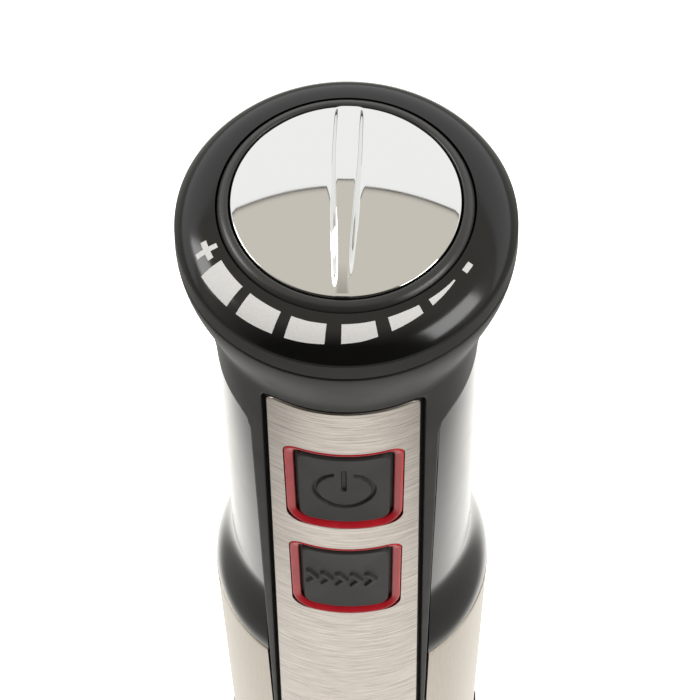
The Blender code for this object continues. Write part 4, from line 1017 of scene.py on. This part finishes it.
# %% Release buttons
across_y = np.concatenate([span(-6.0, 4, -5.5, 12, 5.5, 4, 6.0)]) * MM
up_z = np.concatenate([span(-4.0, 4, -3.5, 56, 3.5, 4, 4.0)]) * MM
yy, zz = np.meshgrid(across_y, up_z)
ribs = 0.8 * MM * smooth_step((np.cos(zz / (2.4 * MM) * 2 * math.pi) + 0.35) / 0.8)
ribs = ribs * (np.abs(zz) < 3.6 * MM)
ribs = ribs * smooth_step((5.3 * MM - np.abs(yy)) / (0.6 * MM))
to_edge = np.minimum(6.0 * MM - np.abs(yy), 4.0 * MM - np.abs(zz))
pad = 31.7 * MM + ribs - eased(to_edge, 0.5 * MM)
rear = np.full_like(pad, 25.2 * MM)
level = np.full((len(up_z) - 1, len(across_y) - 1), 2)
for side, flip in (("left", -1.0), ("right", 1.0)):
    front = np.stack([flip * pad, flip * yy, RELEASE_Z + zz], axis=-1)
    back = np.stack([flip * rear, flip * yy, RELEASE_Z + zz], axis=-1)
    make_piece(f"release_pad_{side}", [terraced(front, back, back, level)], [button_grey],
               f"release_{side}",
               f"release_button_{side}", slot="satin_charcoal", sharp=50)

# %% [markdown]
# ## Cord gland
# A rubber ring lines the cord's hole in the back of the neck. It is turned about a level axis, so its
# points are worked out with radius across and length along Y.

# %% Cord gland
rubber, tree, shader, place = new_material("rubber_moulded_matt", Base_Color=linear("#1b1b1b"), IOR=1.5)
bloom = add(tree, "ShaderNodeTexNoise", {"Vector": place, "Scale": 1 / (1.5 * MM), "Detail": 4.0})
matt = add(tree, "ShaderNodeMapRange", {"Value": (bloom, "Fac"), 3: 0.6, 4: 0.8})
tree.links.new(matt.outputs[0], shader.inputs["Roughness"])
section = rounded(np.array([(3.4, 17.8), (6.8, 17.8), (6.8, 20.6), (5.2, 20.6), (5.2, 25.1), (7.0, 25.1),
                            (6.6, 27.2),
                            (5.0, 29.2), (3.4, 29.2)]) * MM, 0.3 * MM)
angle = np.linspace(0.0, 2 * math.pi, 72, endpoint=False)[None, :]
points = np.stack([section[:, :1] * np.sin(angle), section[:, 1:] + 0 * angle,
                   INLET_Z + section[:, :1] * np.cos(angle)], axis=-1)
make_piece("cord_gland_ring", [(points, grid_faces(points.shape, wrap_rows=True, wrap_columns=True))],
           [rubber], "handle",
           "cord_gland", slot="rubber", sharp=50)

# %% [markdown]
# ## The foot
# The foot is a plastic collar, a drawn steel tube and a pressed bell that guards the blade. The bell's
# wall is an S-curve, and four arches in its rim let food flow in. Each column of the bell starts where
# the arch ends, so the cut edge is clean.

# %% Foot collar and tube
flange_z = HANDLE_END_Z - GAP
t = np.linspace(0.0, 1.0, 30)
taper = np.stack([25.2 * MM - 9.2 * MM * smooth_step(t), flange_z - 4.0 * MM - 22.0 * MM * t], axis=1)
tube_top = HANDLE_END_Z - 8.0 * MM
upper_part = np.array([(11.0 * MM, HANDLE_END_Z + 12 * MM), (16.2 * MM, HANDLE_END_Z + 12 * MM),
                       (16.2 * MM, flange_z),
                       (24.7 * MM, flange_z), (25.1 * MM, flange_z - 0.2 * MM),
                       (25.2 * MM, flange_z - 0.6 * MM)])
lower_part = np.array([(12.8 * MM, taper[-1, 1]), (12.8 * MM, tube_top + GAP), (11.0 * MM, tube_top + GAP)])
make_piece("foot_collar_moulding", [turned(np.vstack([upper_part, taper, lower_part]), 144)],
           [gloss_black], "foot",
           "foot_collar", slot="gloss_black", sharp=40)
BELL_NECK_Z = 54.0 * MM
tube = np.array([(11.5 * MM, BELL_NECK_Z - 3 * MM), (12.5 * MM, BELL_NECK_Z - 3 * MM),
                 (12.5 * MM, tube_top), (11.5 * MM, tube_top)])
make_piece("shaft_tube_drawn", [turned(rounded(tube, 0.2 * MM), 144)], [foot_steel], "foot", "shaft_tube",
           slot="foot_steel", sharp=50)

# %% Bell guard
def bell_radius(z):
    """14.6 mm at the neck to 34 mm at the skirt by a smooth step between 54 and 16 mm up."""
    return 14.6 * MM + 19.4 * MM * smooth_step((BELL_NECK_Z - z) / (BELL_NECK_Z - 16.0 * MM))


def arch_height(angle, radius):
    """Lower edge of the wall: a 9.5 mm circle centred 3.5 mm under the rim, met four times a turn."""
    sideways = radius * np.sin(np.mod(angle + math.pi / 4, math.pi / 2) - math.pi / 4)
    return np.maximum(0.0, -3.5 * MM + np.sqrt(np.maximum(0.0, (9.5 * MM) ** 2 - sideways ** 2)))


foot_angle = math.asin(math.sqrt(9.5 ** 2 - 3.5 ** 2) / 34.0)
eighth = np.concatenate([foot_angle * np.sin(np.linspace(0, math.pi / 2, 17)),
                         np.linspace(foot_angle, math.pi / 4, 9)[1:]])
quarter = np.concatenate([-eighth[:0:-1], eighth])[:-1]
angle = np.concatenate([quarter + k * math.pi / 2 for k in range(4)])[None, :]
angle = np.hstack([angle, angle[:, :1] + 2 * math.pi])
bell_top = BELL_NECK_Z + 8.0 * MM
up = np.concatenate([np.linspace(0, 0.03, 4)[:-1], np.linspace(0.03, 1.0, 90)])[:, None]
low = arch_height(angle, 34.0 * MM)
z = low + (bell_top - low) * up
outer = bell_radius(z) - eased(bell_top - z, 0.4 * MM)
low_in = arch_height(angle, 32.4 * MM)
z_in = low_in + (bell_top - low_in) * up
inner = np.maximum(12.8 * MM, bell_radius(np.minimum(z_in, 44 * MM) + 1.2 * MM) - 1.6 * MM)
inner = np.where(z_in > 47.5 * MM, 12.8 * MM, inner)
front, back = around(angle, outer, z), around(angle, inner, z_in)
make_piece("bell_guard_shell", [terraced(front, back, back, np.full((len(up) - 1, angle.shape[1] - 1), 2),
                                         ring=True)],
           [foot_steel], "foot", "bell_guard", slot="foot_steel", sharp=45)

# %% [markdown]
# ## Blade, hub and nut
# The blade is stamped from steel sheet, ground to an edge and bent, one wing up and one down. It is a thin
# diamond section carried along its length.

# %% Blade, hub and nut
blade_steel = brushed_steel("stainless_steel_ground", "#d6d6d6", "#a9a9ab", 0.24, 1, 0.25)
BLADE_Z = 14.0 * MM
s = np.linspace(-1.0, 1.0, 97)[:, None]
x = s * 24.0 * MM
half = (4.8 - 2.2 * np.abs(s)) * MM * np.sqrt(np.clip((1.02 - np.abs(s)) / 0.08, 0.0, 1.0))
bow = 3.0 * MM * s * np.abs(s)
lift = 0.26 * np.sign(x) * np.maximum(0.0, np.abs(x) - 10 * MM)
section = np.array([(-1.0, -0.02), (-0.55, -0.6), (0.55, -0.6), (1.0, -0.02), (1.0, 0.02), (0.55, 0.6),
                    (-0.55, 0.6), (-1.0, 0.02)])
points = np.stack([x + 0 * section[:, 0], bow + half * section[:, 0],
                   BLADE_Z + lift + section[:, 1] * MM], axis=-1)
ends = np.concatenate([points[:1].mean(axis=1, keepdims=True) + 0 * points[:1], points,
                       points[-1:].mean(axis=1, keepdims=True) + 0 * points[-1:]])
make_piece("cutting_blade", [(ends, grid_faces(ends.shape, wrap_columns=True))], [blade_steel], "cutter",
           "blade",
           slot="machined_steel", sharp=25)
hub = np.array([(3.3, 1.0), (6.0, 1.0), (6.0, 6.0), (4.8, 14.0), (3.3, 14.0)]) * MM + (0.0, BLADE_Z)
make_piece("blade_hub_turned", [turned(rounded(hub, 0.3 * MM), 72)], [blade_steel], "cutter", "blade_hub",
           slot="machined_steel", sharp=50)
angle = np.linspace(0.0, 2 * math.pi, 96, endpoint=False)[None, :]
flat = 4.5 * MM / np.cos(np.mod(angle, math.pi / 3) - math.pi / 6)
nut = np.array([(0.0, -5.4), (0.35, -5.3), (0.62, -4.9), (0.80, -4.2), (0.95, -4.0), (1.0, -3.7),
                (1.0, -1.0), (0.0, -1.0)])
points = around(angle, flat * nut[:, :1], BLADE_Z + nut[:, 1:] * MM)
make_piece("blade_nut_domed", [(points, grid_faces(points.shape, wrap_columns=True))], [blade_steel],
           "cutter", "blade_nut",
           slot="machined_steel", sharp=40)

# %% [markdown]
# ## Finishes for the CAD pieces that stay
# Inside the handle the CAD solids keep their own shape: the motor, the board, the switches, the bearings.
# Each gets the finish of its real material, chosen by name from short lists.

# %% Materials of the inner pieces
def speckled(name, colour, other, size, roughness, metallic=0.0, bump=0.1):
    """Two shades mixed by a noise of one size, with a bump of the same size."""
    material, tree, shader, place = new_material(name, Roughness=roughness, Metallic=metallic)
    grain = add(tree, "ShaderNodeTexNoise", {"Vector": place, "Scale": 1 / size, "Detail": 3.0})
    shade = add(tree, "ShaderNodeMix", {"Factor": (grain, "Fac"), 6: linear(colour), 7: linear(other)},
                data_type="RGBA")
    tree.links.new(shade.outputs[2], shader.inputs["Base Color"])
    relief = add(tree, "ShaderNodeBump", {"Height": (grain, "Fac"), "Strength": bump, "Distance": 0.1 * MM})
    tree.links.new(relief.outputs[0], shader.inputs["Normal"])
    return material


inner_finish = {
    "machined": (speckled("steel_machined", "#a9a9ab", "#8a8a8d", 0.4 * MM, 0.32, 1.0),
                 "motor_can motor_screw_front motor_screw_back upper_bearing lower_bearing motor_shaft "
                 "drive_coupling drive_shaft drive_socket dial_stem"),
    "iron": (speckled("iron_laminated", "#6d6a66", "#4e4c49", 0.5 * MM, 0.5, 1.0), "armature"),
    "copper": (speckled("copper_turned", "#c98a5c", "#a86a42", 0.6 * MM, 0.35, 1.0), "commutator"),
    "ferrite": (speckled("ferrite_sintered", "#3b3b3d", "#2b2b2d", 0.6 * MM, 0.7),
                "magnet_left magnet_right"),
    "carbon": (speckled("carbon_pressed", "#2a2a2b", "#1b1b1c", 0.3 * MM, 0.65), "brush_left brush_right"),
    "board": (speckled("glass_epoxy_solder_masked", "#1f5a35", "#184a2b", 2.0 * MM, 0.4), "circuit_board"),
    "nylon": (speckled("nylon_moulded", "#dedcd2", "#cfcdc3", 1.0 * MM, 0.5),
              "cord_clamp motor_endcap motor_base cooling_fan upper_bush lower_bush"),
    "rubber": (rubber, "shaft_seal"),
    "black": (recess_black, "potentiometer power_switch turbo_switch"),
}
painted = 0
for material, names in inner_finish.values():
    for name in names.split():
        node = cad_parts[name]
        node.data.materials.clear()
        node.data.materials.append(material)
        painted += 1
print("painted", painted, "CAD pieces")
